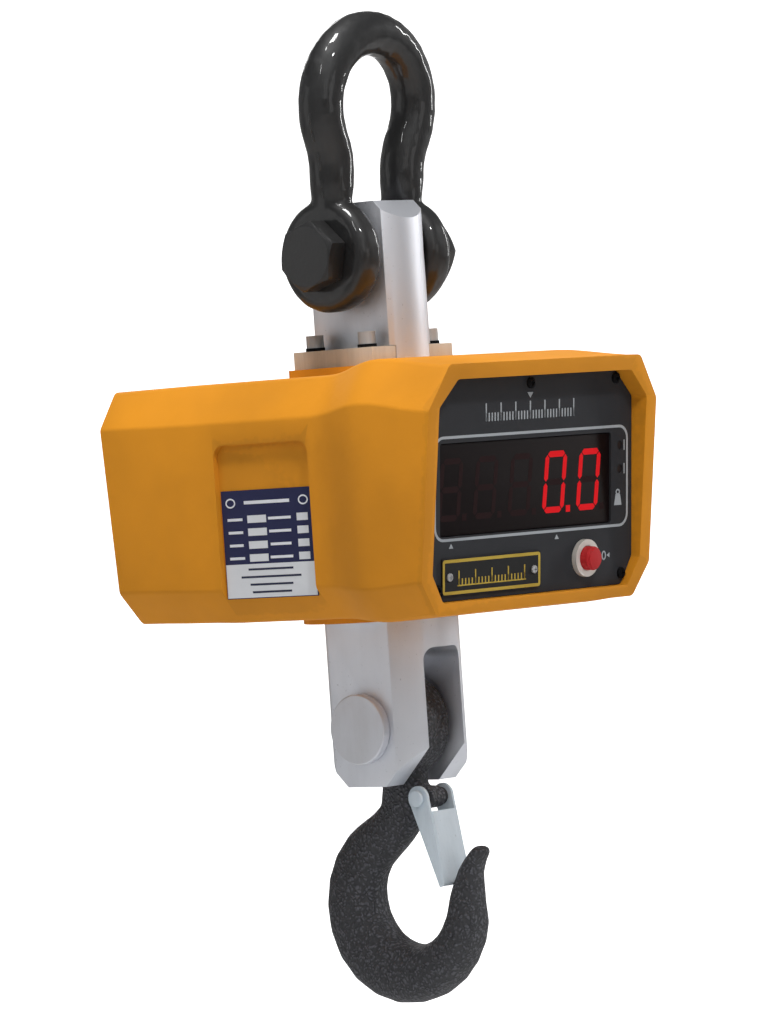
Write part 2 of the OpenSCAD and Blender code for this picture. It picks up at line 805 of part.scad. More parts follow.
cover_half = rear_half - wall - fit_gap;
cover_h = waist_h - 1.8 - 2 * wall - 2 * fit_gap;
cover_mid = (end_section[2] + end_section[3]) / 2 - mid_z;
cover_up = [chamfer_x - 0.5 * wall, chamfer_z - 1 - 0.5 * wall];
cover_low = [lower_cut[0] + 2 - 0.5 * wall, lower_cut[1] - 0.5 * wall];

module rear_opening() {
    translate([0, cover_y, mid_z]) rotate([-rear_tilt, 0, 0]) {
        translate([0, -cover_t - gasket_t, cover_mid])
            octagon_plate(cover_half + fit_gap, cover_h + 2 * fit_gap, cover_up, cover_low, 60, 3);
        each_cover_screw() y_bar(3, -cover_t - gasket_t - 7, 0);
    }
}

module label_recess() {
    translate([waist_half - recess_depth, recess_l / 2 - recess_front, mid_z + recess_up])
        rotate([0, 90, 0]) linear_extrude(30)
            translate([waist_h / 2, 0]) round_rect(waist_h, recess_l, 6);
}

seal_t = 5;
seal_z = waist_bottom + 3;

module bar_seal() {
    color("#1c1c1c") in_bar() translate([0, 0, seal_z + 0.2]) difference() {
        cylinder(d = clevis_d + 7.4, h = seal_t - 0.4);
        translate([0, 0, -1]) cylinder(d = clevis_d + 0.1, h = seal_t + 1);
    }
}

// How far the label reaches below the lower cut's top
label_drop = 4;

module data_plate() {
    color("#2a2f5e") in_bar()
        translate([-waist_half + recess_depth - data_plate_t, 0, 0])
            span([0, recess_l - recess_front - data_plate_l - 1, waist_bottom + lower_cut[1] - label_drop],
                 [data_plate_t - lap, recess_l - recess_front - 1,
                  waist_bottom + lower_cut[1] - label_drop + data_plate_h]);
}

// ---- Front panel ----

// Places of the panel screws: in from the upper cuts, and in from the lower corners
screw_from_top = 4;
screw_from_bottom = 5.4;
screw_from_side = 8.6;

module each_panel_screw() {
    for (x = [-1, 0, 1])
        translate([x * (panel_half - panel_cut + 0.2), 0, panel_h / 2 - screw_from_top]) children();
    for (x = [-1, 1])
        translate([x * (panel_half - screw_from_side), 0, -panel_h / 2 + screw_from_bottom]) children();
}

module front_gasket() {
    color("#161616") in_panel() translate([0, gasket_depth, 0]) difference() {
        octagon_plate(panel_half, panel_h, [panel_cut, panel_cut], panel_low_cut, gasket_t, 3);
        translate([0, -1, 0]) octagon_plate(panel_half - ledge_w, panel_h - 2 * ledge_w,
            [panel_cut - 3, panel_cut - 3], panel_low_cut - [3, 3], gasket_t + 2, 3);
        each_panel_screw() y_bar(3.4, -1, gasket_t + 1);
    }
}

button_x = 40.7;
button_z = -37.6;
status_x = 69;
status_z = [15.4, 4];
nameplate_x = -30;
nameplate_z = -40.7;

module front_panel() {
    color("#3a3c42") in_panel() difference() {
        octagon_plate(panel_half, panel_h, [panel_cut, panel_cut], panel_low_cut, panel_t, 3);
        translate([-window_shift, -1, 0]) y_plate(window_w, window_h, panel_t + 2, 1.5);
        each_panel_screw() y_bar(3.4, -1, panel_t + 1);
        translate([button_x, 0, button_z]) y_bar(button_hole, -1, panel_t + 1);
        for (z = status_z) translate([status_x, 0, z]) y_bar(status_d + 0.3, -1, panel_t + 1);
        each_nameplate_screw() y_bar(2.2, -1, panel_t + 1);
        each_spacer() y_bar(3.2, 1.2, panel_t + 1);
    }
}

module panel_screws() {
    color("#1b1b1c") in_panel() each_panel_screw() pan_screw(m3_screw, ledge_depth + m3_grip);
}

module display_window() {
    color("#2b0508") in_panel() translate([-window_shift, 0, 0]) {
        translate([0, 0.8, 0]) y_plate(window_w - 2 * fit_gap, window_h - 2 * fit_gap, panel_t - 0.7, 1.2);
        translate([0, panel_t + 0.05, 0]) y_plate(window_w + 4, window_h + 4, window_flange, 2);
    }
}

module each_digit() {
    for (k = [0 : digits - 1]) translate([digit_first + k * digit_pitch, 0, 0]) children();
}

module digit_modules() {
    color("#2c2c2e") in_panel() each_digit() translate([0, digit_front, 0])
        span([-digit_pitch / 2 + 0.4, 0, -digit_h / 2], [digit_pitch / 2 - 0.4, digit_depth, digit_h / 2]);
}

module each_spacer() {
    for (x = [-1, 1]) {
        translate([x * spacer_x, 0, spacer_up]) children();
        translate([x * (spacer_x + 3), 0, -spacer_down]) children();
    }
}

module board(w, h) {
    difference() {
        translate([0, 0, (spacer_up - spacer_down) / 2]) y_plate(w, h, board_t, 2);
        each_spacer() y_bar(3.3, -1, board_t + 1);
    }
}

module display_board() {
    color("#1f6b3a") in_panel() translate([0, display_board_depth, 0]) board(display_board_w, display_board_h);
}

module main_board() {
    color("#1f6b3a") in_panel() translate([0, main_board_depth, 0]) {
        board(main_board_w, main_board_h);
        for (x = [-26, 8], z = [-14, 12])
            translate([x, board_t - lap, z]) span([-7, 0, -5], [7, 2.4, 5]);
        translate([-38, board_t - lap, 18]) span([-6, 0, -3], [6, 5, 3]);
    }
}

// Hexagon spacer with a through screw, from depth y0 to depth y1
module spacer(y0, y1, tail) {
    translate([0, y0 + 0.02, 0]) rotate([-90, 0, 0]) cylinder(d = 6.2, h = y1 - y0 - 0.04, $fn = 6);
    y_bar(3, y0 - tail, y0 + 1);
}

module display_spacers() {
    color("#c8a24a") in_panel() each_spacer() spacer(panel_t, display_board_depth, 1.6);
}

module main_board_spacers() {
    color("#c8a24a") in_panel() each_spacer() {
        spacer(display_board_depth + board_t, main_board_depth, board_t);
        y_bar(3, main_board_depth - 1, main_board_depth + board_t + 1);
        translate([0, main_board_depth + board_t + 0.02, 0]) rotate([-90, 0, 0]) cylinder(d = 6.2, h = 2.4, $fn = 6);
    }
}

module status_lights() {
    color("#5a1014") in_panel() for (z = status_z) translate([status_x, 0, z]) {
        y_bar(status_d, 0.6, panel_t + 1);
        y_bar(status_d + 1.2, panel_t + 0.1, panel_t + 3);
    }
}

// ---- Push button ----

button_hole = bezel_d - 3.5;
button_body_d = button_hole - 0.4;
bezel_h = 2.6;
button_stem = 5;
body_tail = 4.6;
switch_block_h = 6;
button_well = button_d + 2 * button_gap;

module in_button() {
    in_panel() translate([button_x, 0, button_z]) children();
}

module button_bezel() {
    color("#c7c9cc") in_button() difference() {
        union() {
            y_bar(bezel_d, -bezel_h, -0.02);
            y_bar(button_body_d, -1, panel_t + body_tail);
        }
        y_bar(button_well, -bezel_h - 1, panel_t + body_tail - 1.5);
        y_bar(button_stem + 2 * fit_gap, 0, panel_t + 20);
    }
}

module zero_button() {
    color("#c3161c") in_button() {
        y_bar(button_d, -bezel_h - button_rise + 1, 1);
        y_bar(button_d - 2, -bezel_h - button_rise, 0);
        y_bar(button_stem, 0, panel_t + body_tail + 1);
    }
}

module button_switch() {
    color("#222222") in_button() translate([0, panel_t + body_tail + 0.05, 0]) {
        difference() {
            span([-6.5, 0, -6.5], [6.5, switch_block_h, 6.5]);
            y_bar(button_stem + 2 * fit_gap, -1, button_travel + 1.6);
        }
        for (x = [-3, 3]) translate([x - 0.4, switch_block_h - lap, -1]) cube([0.8, 1.6, 2]);
    }
}

module button_nut() {
    color("#b5b7ba") in_button() difference() {
        translate([0, panel_t + 0.05, 0]) rotate([-90, 0, 0]) cylinder(d = bezel_d + 1, h = 2.5, $fn = 6);
        y_bar(button_body_d + 0.1, 0, 20);
    }
}

// ---- Nameplate ----

module each_nameplate_screw() {
    for (x = [-1, 1]) translate([nameplate_x + x * (nameplate_l / 2 - 5), 0, nameplate_z]) children();
}

module nameplate() {
    color("#1a1a1a") in_panel() difference() {
        translate([nameplate_x, -nameplate_t - 0.02, nameplate_z]) y_plate(nameplate_l, nameplate_h, nameplate_t, 0.5);
        each_nameplate_screw() y_bar(2.3, -nameplate_t - 1, 1);
    }
}

module nameplate_screws() {
    color("#d9d9d9") in_panel() each_nameplate_screw()
        translate([0, -nameplate_t - 0.04, 0]) pan_screw(m2_screw, panel_t);
}

// ---- Rear cover ----

module each_cover_screw() {
    for (x = [-1, 1]) {
        translate([x * (cover_half - cover_up[0] - 1), 0, cover_mid + cover_h / 2 - 4]) children();
        translate([x * (cover_half - cover_low[0] - 1), 0, cover_mid - cover_h / 2 + 4]) children();
    }
}

module rear_gasket() {
    color("#161616") in_cover() difference() {
        translate([0, -cover_t - gasket_t, cover_mid])
            octagon_plate(cover_half, cover_h, cover_up, cover_low, gasket_t, 3);
        translate([0, -cover_t - gasket_t - 1, cover_mid])
            octagon_plate(cover_half - ledge_w, cover_h - 2 * ledge_w,
                          cover_up - [3, 3], cover_low - [3, 3], gasket_t + 2, 3);
        each_cover_screw() y_bar(3.4, -cover_t - gasket_t - 1, 1);
    }
}

module rear_cover() {
    color("#e8962a") in_cover() difference() {
        translate([0, -cover_t, cover_mid])
            octagon_plate(cover_half, cover_h, cover_up, cover_low, cover_t, 3);
        each_cover_screw() y_bar(3.4, -cover_t - 1, 1);
        translate([-rear_fitting_x, -cover_t - 1, switch_z])
            y_plate(switch_w - 2, switch_h - 2, cover_t + 2, 0.6);
        translate([rear_fitting_x, 0, switch_z]) y_bar(socket_d + 0.4, -cover_t - 1, 1);
        each_tray_screw() y_bar(3.4, -cover_t - 1, 1);
    }
}

module rear_cover_screws() {
    color("#cfcfcf") in_cover() each_cover_screw() rotate([0, 0, 180])
        pan_screw(m3_screw, cover_t + gasket_t + m3_grip);
}

switch_z = -35;
switch_depth = 14;
rocker_tilt = 9;

module switch_frame() {
    color("#161616") in_cover() translate([-rear_fitting_x, 0, switch_z]) difference() {
        union() {
            translate([0, 0.02, 0]) y_plate(switch_w, switch_h, 2, 1);
            translate([0, -cover_t - switch_depth, 0])
                y_plate(switch_w - 2.6, switch_h - 2.6, cover_t + switch_depth + 1, 0.5);
        }
        translate([0, -8, 0]) y_plate(switch_w - 6, switch_h - 5, 12, 0.5);
        x_cyl(2.1, switch_w - 4);
        for (x = [-1, 1]) translate([x * 5, -cover_t - switch_depth + 1, 0]) y_bar(1, -2, 1);
    }
}

module power_rocker() {
    color("#b01a1a") in_cover() translate([-rear_fitting_x, 0, switch_z]) rotate([rocker_tilt, 0, 0]) {
        rotate([0, 90, 0]) linear_extrude(switch_w - 7, center = true)
            polygon([[-4.2, 2.5], [0, 1.6], [4.2, 2.5], [3.2, -3], [-3.2, -3]]);
        x_cyl(2, switch_w - 4.4);
    }
}

module charging_socket() {
    color("#1b1b1b") in_cover() translate([rear_fitting_x, 0, switch_z]) difference() {
        union() {
            y_bar(socket_d + 4, 0.02, 2.2);
            y_bar(socket_d, -cover_t - 12, 1);
        }
        y_bar(socket_d - 5, -6, 4);
    }
}

module socket_nut() {
    color("#b5b7ba") in_cover() translate([rear_fitting_x, 0, switch_z]) difference() {
        translate([0, -cover_t - 2.55, 0]) rotate([-90, 0, 0]) cylinder(d = socket_d + 4, h = 2.5, $fn = 6);
        y_bar(socket_d + 0.1, -20, 4);
    }
}

// ---- Battery, in rear cover coordinates ----

tray_y = -cover_t - sheet_t - 0.05;
battery_back = tray_y - 1.2;
battery_mid = 8;
battery_low = battery_mid - battery_h / 2;

module battery() {
    color("#33363b") in_cover() {
        span([-battery_w / 2, battery_back - battery_t, battery_low],
             [battery_w / 2, battery_back, battery_low + battery_h - 6]);
        translate([0, 0, battery_low + battery_h - 6 - lap])
            span([-battery_w / 2 + 1, battery_back - battery_t + 1, 0], [battery_w / 2 - 1, battery_back - 1, 2]);
        for (x = [-1, 1]) translate([x * (battery_w / 2 - 8), battery_back - battery_t / 2, battery_low + battery_h - 4])
            span([-2.4, -0.4, -1], [2.4, 0.4, 5]);
    }
}

module battery_tray() {
    color("#9da0a3") in_cover() difference() {
        translate([0, 0, battery_low - sheet_t - 0.05]) union() {
            span([-battery_w / 2, battery_back - battery_t - 1 - sheet_t, 0], [battery_w / 2, tray_y + sheet_t, sheet_t]);
            span([-tray_foot / 2, tray_y, -12], [tray_foot / 2, tray_y + sheet_t, 44]);
            span([-battery_w / 2, battery_back - battery_t - 1 - sheet_t, 0],
                 [battery_w / 2, battery_back - battery_t - 1, 20]);
        }
        each_tray_screw() y_bar(3.4, tray_y - 1, 1);
    }
}

strap_w = 24;
tray_foot = 48;
strap_top = battery_low + battery_h - 4;

module battery_strap() {
    color("#9da0a3") in_cover() {
        span([-strap_w / 2, battery_back - battery_t - 1 - 2 * sheet_t, battery_low - sheet_t],
             [strap_w / 2, battery_back - battery_t - 1.05 - sheet_t, strap_top + 0.05]);
        span([-strap_w / 2, battery_back - battery_t - 1 - 2 * sheet_t, strap_top + 0.05],
             [strap_w / 2, tray_y + sheet_t, strap_top + 0.05 + sheet_t]);
        span([-strap_w / 2, tray_y, strap_top + 0.05],
             [strap_w / 2, tray_y + sheet_t, strap_top + 7]);
    }
}

module each_tray_screw() {
    for (x = [-1, 1]) translate([x * (tray_foot / 2 - 8), 0, battery_low - 8]) children();
}

module tray_screws() {
    color("#cfcfcf") in_cover() each_tray_screw() {
        rotate([0, 0, 180]) pan_screw(m3_screw, cover_t + sheet_t + 4);
        translate([0, tray_y - 0.05, 0]) rotate([90, 0, 0]) cylinder(d = 6, h = 2.4, $fn = 6);
    }
}

lead_d = 3;
lead_x = -38;

module battery_lead() {
    color("#a01818") in_bar() translate([lead_x, 0, mid_z + 16.6])
        y_bar(lead_d, panel_y + main_board_depth + board_t + 7,
              cover_y + battery_back - battery_t - 0.5);
}

// ---- Hook pin ----

clevis_side = clevis_flat / 2;
pin_end = clevis_side + pin_washer_t + ring_t + 2.4;

module in_hook_pin() {
    in_bar() translate([0, 0, -pin_spacing]) children();
}

module hook_pin() {
    color("#c2c5c9") in_hook_pin() difference() {
        union() {
            x_bar(hook_pin_d, -clevis_side - 1, pin_end);
            translate([-clevis_side - pin_head_h / 2 - 0.05, 0, 0]) x_disc(pin_head_d, pin_head_h, 0.8);
        }
        translate([clevis_side + pin_washer_t + ring_t / 2 + 0.1, 0, 0]) difference() {
            x_cyl(hook_pin_d + 2, ring_t + 0.1);
            x_cyl(hook_pin_d - 2.4, ring_t + 1);
        }
    }
}

module hook_pin_washer() {
    color("#b5b7ba") in_hook_pin() difference() {
        x_bar(pin_head_d - 2, clevis_side + 0.05, clevis_side + pin_washer_t);
        x_cyl(hook_pin_d + 2 * fit_gap, 4 * clevis_d);
    }
}

module hook_pin_ring() {
    color("#3a3a3c") in_hook_pin() translate([clevis_side + pin_washer_t + ring_t / 2 + 0.1, 0, 0]) difference() {
        x_cyl(hook_pin_d + 6, ring_t);
        x_cyl(hook_pin_d - 2.2, ring_t + 2);
        span([-ring_t, -3, -hook_pin_d], [ring_t, 3, 0]);
    }
}

// ---- Eye hook: Y is its back, Z up, the load line runs down from the pin ----

hook_back = 8;
bowl = [0, -bowl_drop];
hook_mid = [hook_back, -bowl_drop - 4];

// Distance from the bowl's middle to the outside, in direction d
function reach_out(d) =
    let (w = bowl - hook_mid, b = d * w)
    -b + sqrt(b * b - w * w + hook_r * hook_r);

// Section of the bowl at angle a: [inside point, outside point, thickness]
function bowl_row(a) =
    let (d = [cos(a), sin(a)], swell = cos(a + 80))
    [bowl + bowl_r * d, bowl + reach_out(d) * d, hook_t - 5 * (1 - swell)];

// Rows of the neck, from inside the eye down to the bowl
neck_half = 12.5;
neck_t = latch_inside - 1;
neck_rows = [
    [[-neck_half, -12], [neck_half, -12], 16],
    [[-neck_half, -30], [neck_half, -30], neck_t],
    [[-neck_half, -bowl_drop + 44], [neck_half + 2, -bowl_drop + 46], neck_t],
    [[-8, -bowl_drop + 36], [neck_half + 7, -bowl_drop + 42.5], neck_t + 0.6],
    [[1.5, -bowl_drop + 27], [30, -bowl_drop + 37.5], neck_t + 3]
];

// Rows of the tip, which flares outwards past the bowl
tip_rows = [
    [[-23.2, -bowl_drop - 1], [-39, -bowl_drop - 5], 17.5],
    [[-25.6, -bowl_drop + 4.5], [-39.6, -bowl_drop + 3], 15.5],
    [[-29.5, -bowl_drop + 11.5], [-40.2, -bowl_drop + 8.5], 13.5],
    [[-34.5, -bowl_drop + 17], [-43, -bowl_drop + 14.5], 12],
    [[-38.6, -bowl_drop + 21], [-46.2, -bowl_drop + 18.5], 10.5],
    [[-41.5, -bowl_drop + 22.8], [-46.4, -bowl_drop + 20.6], 7]
];

hook_rows = concat(neck_rows, [for (a = [42 : -14.2 : -164]) bowl_row(a)], tip_rows);
hook_sides = 24;

// A rounded outline between the inside and outside points of a row
function hook_ring(row) =
    let (c = (row[0] + row[1]) / 2, d = (row[1] - row[0]) / 2, n = 0.8)
    [for (i = [0 : hook_sides - 1])
        let (
            t = 360 * i / hook_sides,
            k = sign(cos(t)) * pow(abs(cos(t)), n),
            m = sign(sin(t)) * pow(abs(sin(t)), n),
            p = c + d * k
        )
        [-m * row[2] / 2, p[0], p[1]]];

latch_y = -15.3;
latch_z = -36.3;
lug_half = 5.5;
latch_boss_d = 11;

module eye_hook() {
    color("#2a2a2c") in_hook() difference() {
        union() {
            x_disc(eye_d, eye_t, 6);
            skin([for (row = hook_rows) hook_ring(row)]);
            translate([0, latch_y, latch_z]) {
                x_cyl(latch_boss_d, 2 * lug_half);
                span([-lug_half, 0, -latch_boss_d / 2], [lug_half, 12, latch_boss_d / 2]);
            }
        }
        x_cyl(hook_pin_d + 2 * running_gap, 2 * eye_t);
        translate([0, latch_y, latch_z]) x_cyl(latch_pin_d + fit_gap, 2 * eye_t);
        latch_room();
    }
}

// Shoulders cut so that the latch's cheeks and spring pass beside the lug
module latch_room() {
    for (side = [0, 1]) mirror([side, 0, 0])
        translate([0, latch_y, latch_z])
            x_bar(latch_boss_d + 6, lug_half, latch_inside);
}

module in_latch() {
    in_hook() translate([0, latch_y, latch_z]) rotate([-latch_lean, 0, 0]) children();
}

// Side view of a cheek: round about the pivot, then narrowing to the latch's end
module cheek_outline() {
    difference() {
        union() {
            circle(d = latch_boss_d + 1);
            polygon([[-5.9, 0], [-1.6, -latch_l + 1], [-0.8, -latch_l], [1.8, -latch_l], [5.6, -2]]);
        }
        circle(d = latch_pin_d + 2 * running_gap);
    }
}

module safety_latch() {
    color("#b9c0c8") in_latch() {
        for (side = [0, 1]) mirror([side, 0, 0])
            translate([latch_inside / 2, 0, 0]) rotate([90, 0, 90])
                linear_extrude(latch_sheet) cheek_outline();
        rotate([90, 0, 90]) linear_extrude(latch_inside + 2 * lap, center = true)
            polygon([[-5.5, -8], [-5.5 + latch_sheet, -8], [-1.2 + latch_sheet, -latch_l + 1.5],
                     [-0.8 + latch_sheet, -latch_l], [-0.8, -latch_l], [-1.6, -latch_l + 1]]);
    }
}

module latch_pin() {
    color("#c9ced4") in_hook() translate([0, latch_y, latch_z]) {
        outer = latch_inside / 2 + latch_sheet;
        x_bar(latch_pin_d, -outer - 1, outer + 1);
        for (side = [-1, 1]) translate([side * (outer + 1.2), 0, 0]) x_disc(8, 2, 0.7);
    }
}

spring_wire = 1.1;

module latch_spring() {
    color("#4a4a4c") in_hook() translate([0, latch_y, latch_z]) for (side = [0, 1]) mirror([side, 0, 0])
        for (k = [0, 1])
            translate([lug_half + 0.9 + k * (spring_wire + 0.15), 0, 0]) rotate([0, 90, 0])
                rotate_extrude() translate([latch_pin_d / 2 + 1.2, 0]) circle(d = spring_wire, $fn = 16);
}

shackle_bow();
shackle_bolt();
shackle_nut();
load_cell();
gauge_covers();
load_cell_cable();
keeper_plate_left();
keeper_plate_right();
keeper_screws();
keeper_spring_washers();
housing();
bar_seal();
front_gasket();
front_panel();
panel_screws();
display_window();
digit_modules();
display_board();
display_spacers();
main_board();
main_board_spacers();
status_lights();
button_bezel();
zero_button();
button_switch();
button_nut();
nameplate();
nameplate_screws();
data_plate();
rear_gasket();
rear_cover();
rear_cover_screws();
battery();
battery_tray();
battery_strap();
tray_screws();
battery_lead();
switch_frame();
power_rocker();
charging_socket();
socket_nut();
hook_pin();
hook_pin_washer();
hook_pin_ring();
eye_hook();
safety_latch();
latch_pin();
latch_spring();
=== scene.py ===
"""Looks of a hanging crane scale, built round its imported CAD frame.

Each sub-assembly is a class whose build() method makes or dresses its own pieces. Finishes are frozen
dataclasses whose colour, roughness and height patterns come from shared shader node groups.
"""

import json
import logging
import math
from dataclasses import dataclass, field
from enum import Enum
from typing import Callable, Iterable, Sequence

import bmesh
import bpy
import numpy as np
from mathutils import Matrix, Vector, noise
from mathutils.bvhtree import BVHTree


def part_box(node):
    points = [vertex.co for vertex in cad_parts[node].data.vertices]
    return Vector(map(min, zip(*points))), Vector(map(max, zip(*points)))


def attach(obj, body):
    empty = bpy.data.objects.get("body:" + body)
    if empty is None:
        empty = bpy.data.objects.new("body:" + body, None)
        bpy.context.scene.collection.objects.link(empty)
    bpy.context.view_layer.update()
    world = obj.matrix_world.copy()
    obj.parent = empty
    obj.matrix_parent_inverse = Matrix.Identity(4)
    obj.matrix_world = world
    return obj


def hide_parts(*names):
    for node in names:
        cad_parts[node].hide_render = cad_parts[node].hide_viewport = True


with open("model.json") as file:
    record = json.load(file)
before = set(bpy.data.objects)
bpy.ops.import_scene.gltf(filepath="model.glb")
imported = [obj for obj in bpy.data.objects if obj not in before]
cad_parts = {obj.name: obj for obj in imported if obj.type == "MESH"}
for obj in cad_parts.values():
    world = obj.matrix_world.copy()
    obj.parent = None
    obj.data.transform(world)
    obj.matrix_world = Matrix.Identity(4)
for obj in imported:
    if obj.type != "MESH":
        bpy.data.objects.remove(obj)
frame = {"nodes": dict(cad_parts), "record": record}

LOG = logging.getLogger("crane_scale")
MM = 0.001

# Middle of the front panel's outer face and its lean, in the row frame
PANEL = Matrix.Translation(Vector((0, -82.999, -211.158)) * MM) @ Matrix.Rotation(math.radians(5), 4, "X")
# Axes of the label on the left side: right is -Y, inwards is +X
LEFT_SIDE = Matrix(((0, 1, 0, 0), (-1, 0, 0, 0), (0, 0, 1, 0), (0, 0, 0, 1)))

Color = tuple[float, float, float, float]
Point = tuple[float, float]


class Effect(Enum):
    """Shared shader effects, one node group each."""

    ENAMEL = "fx_enamel"
    HAMMERTONE = "fx_hammertone"
    METAL = "fx_metal"
    MOULDED = "fx_moulded"


class Rides(Enum):
    """CAD bodies that the extra pieces ride on."""

    SHACKLE = "shackle"
    SCALE = "scale"
    HOOK = "hook"
    LATCH = "latch"
    BUTTON = "push_button"


def linear(hex_color: str) -> Color:
    """Turns a hex colour into linear light.

    Args:
        hex_color: Six hex digits.

    Returns:
        Linear red, green, blue and full alpha.
    """
    parts = [int(hex_color[i : i + 2], 16) / 255 for i in (0, 2, 4)]
    red, green, blue = (c / 12.92 if c <= 0.04045 else ((c + 0.055) / 1.055) ** 2.4 for c in parts)
    return (red, green, blue, 1.0)


class Graph:
    """Short ways to add and link nodes in one tree."""

    def __init__(self, tree: bpy.types.NodeTree) -> None:
        self.tree = tree

    def add(self, kind: str, inputs: dict | None = None, **settings: object) -> bpy.types.Node:
        """Adds a node.

        Args:
            kind: The node's type name.
            inputs: Input name or index to a constant or a socket to link from.
            **settings: Attributes of the node itself.

        Returns:
            The new node.
        """
        made = self.tree.nodes.new(kind)
        for name, value in settings.items():
            setattr(made, name, value)
        for key, value in (inputs or {}).items():
            if isinstance(value, bpy.types.NodeSocket):
                self.tree.links.new(value, made.inputs[key])
            else:
                made.inputs[key].default_value = value
        return made

    def math(self, operation: str, a: object, b: object = 0.0, clamp: bool = False) -> bpy.types.NodeSocket:
        """Adds a Math node and returns its result."""
        return self.add("ShaderNodeMath", {0: a, 1: b}, operation=operation, use_clamp=clamp).outputs[0]

    def ramp(self, value: object, low: float, high: float) -> bpy.types.NodeSocket:
        """Maps low..high to 0..1, clamped and smooth."""
        inputs = {"Value": value, "From Min": low, "From Max": high}
        return self.add("ShaderNodeMapRange", inputs, interpolation_type="SMOOTHSTEP").outputs[0]

    def mix(self, factor: object, a: object, b: object, blend: str = "MIX") -> bpy.types.NodeSocket:
        """Mixes two colours."""
        node = self.add("ShaderNodeMix", {0: factor, 6: a, 7: b}, data_type="RGBA", blend_type=blend)
        return node.outputs[2]

    def noise(self, where: object, scale: object, detail: float = 2.0) -> bpy.types.NodeSocket:
        """Adds a noise texture and returns its factor."""
        inputs = {"Vector": where, "Scale": scale, "Detail": detail}
        return self.add("ShaderNodeTexNoise", inputs).outputs["Fac"]

    def stretched(self, where: object, scale: Sequence[float]) -> bpy.types.NodeSocket:
        """Scales coordinates by a fixed vector."""
        return self.add("ShaderNodeMapping", {"Vector": where, "Scale": scale}).outputs[0]


SOCKET_KINDS = {float: "NodeSocketFloat", tuple: "NodeSocketColor"}


def effect_tree(effect: Effect, inputs: dict[str, object]) -> tuple[Graph, dict, bpy.types.Node]:
    """Starts a shader group with named inputs and the three outputs every effect has.

    Args:
        effect: Which effect the group is for.
        inputs: Input name to its default, whose type picks the socket's kind.

    Returns:
        The graph, the group's input sockets by name, and the group's output node.
    """
    tree = bpy.data.node_groups.new(effect.value, "ShaderNodeTree")
    for name, default in inputs.items():
        socket = tree.interface.new_socket(name, in_out="INPUT", socket_type=SOCKET_KINDS[type(default)])
        socket.default_value = default
    tree.interface.new_socket("Color", in_out="OUTPUT", socket_type="NodeSocketColor")
    tree.interface.new_socket("Roughness", in_out="OUTPUT", socket_type="NodeSocketFloat")
    tree.interface.new_socket("Height", in_out="OUTPUT", socket_type="NodeSocketFloat")
    graph = Graph(tree)
    entry = graph.add("NodeGroupInput")
    return graph, {s.name: s for s in entry.outputs}, graph.add("NodeGroupOutput")


WHITE: Color = (1.0, 1.0, 1.0, 1.0)
DUST: Color = linear("8f867a")


def dusted(g: Graph, color: object, amount: object, where: object) -> tuple:
    """Lays a thin dust on faces that look up, inside an effect group.

    Args:
        g: Graph of the group.
        color: Colour under the dust.
        amount: Share of dust on a level face.
        where: Coordinates of the pattern.

    Returns:
        The dusted colour and the roughness that the dust adds.
    """
    normal = g.add("ShaderNodeNewGeometry").outputs["Normal"]
    up = g.ramp(g.add("ShaderNodeSeparateXYZ", {0: normal}).outputs["Z"], 0.2, 1.0)
    patch = g.math("MULTIPLY", up, g.ramp(g.noise(where, 45.0, 5.0), 0.35, 0.75))
    mask = g.math("MULTIPLY", patch, amount)
    return g.mix(mask, color, DUST), g.math("MULTIPLY_ADD", mask, 0.6)


def enamel_group() -> bpy.types.NodeTree:
    """Thick sprayed enamel: orange peel, small chips on edges, soft mottling and dust."""
    g, i, out = effect_tree(Effect.ENAMEL, {
        "Base": WHITE, "Worn": WHITE, "Gloss": 0.2, "Peel Scale": 500.0, "Peel": 1.0, "Chips": 0.3,
        "Dust": 0.1,
    })
    where = g.add("ShaderNodeTexCoord").outputs["Object"]
    broad = g.noise(where, 14.0, 4.0)
    peel = g.noise(where, i["Peel Scale"], 1.5)
    lumps = g.noise(where, 90.0, 2.0)
    edge = g.add("ShaderNodeNewGeometry").outputs["Pointiness"]
    ragged = g.math("MULTIPLY_ADD", g.noise(where, 260.0, 4.0), 0.1)
    ragged.node.inputs[2].default_value = -0.05
    chipped = g.math("MULTIPLY", g.ramp(g.math("ADD", edge, ragged), 0.56, 0.6), i["Chips"], clamp=True)
    shade = g.mix(g.ramp(broad, 0.3, 0.75), i["Base"], g.mix(0.16, i["Base"], (0, 0, 0, 1)))
    color = g.mix(chipped, shade, i["Worn"])
    color, extra = dusted(g, color, i["Dust"], where)
    rough = g.math("ADD", g.math("ADD", i["Gloss"], g.math("MULTIPLY", broad, 0.08)), extra)
    g.tree.links.new(color, out.inputs["Color"])
    g.tree.links.new(g.math("ADD", rough, g.math("MULTIPLY", chipped, 0.3)), out.inputs["Roughness"])
    height = g.math("ADD", g.math("MULTIPLY", peel, i["Peel"]), g.math("MULTIPLY", lumps, 1.6))
    g.tree.links.new(g.math("SUBTRACT", height, chipped), out.inputs["Height"])
    return g.tree


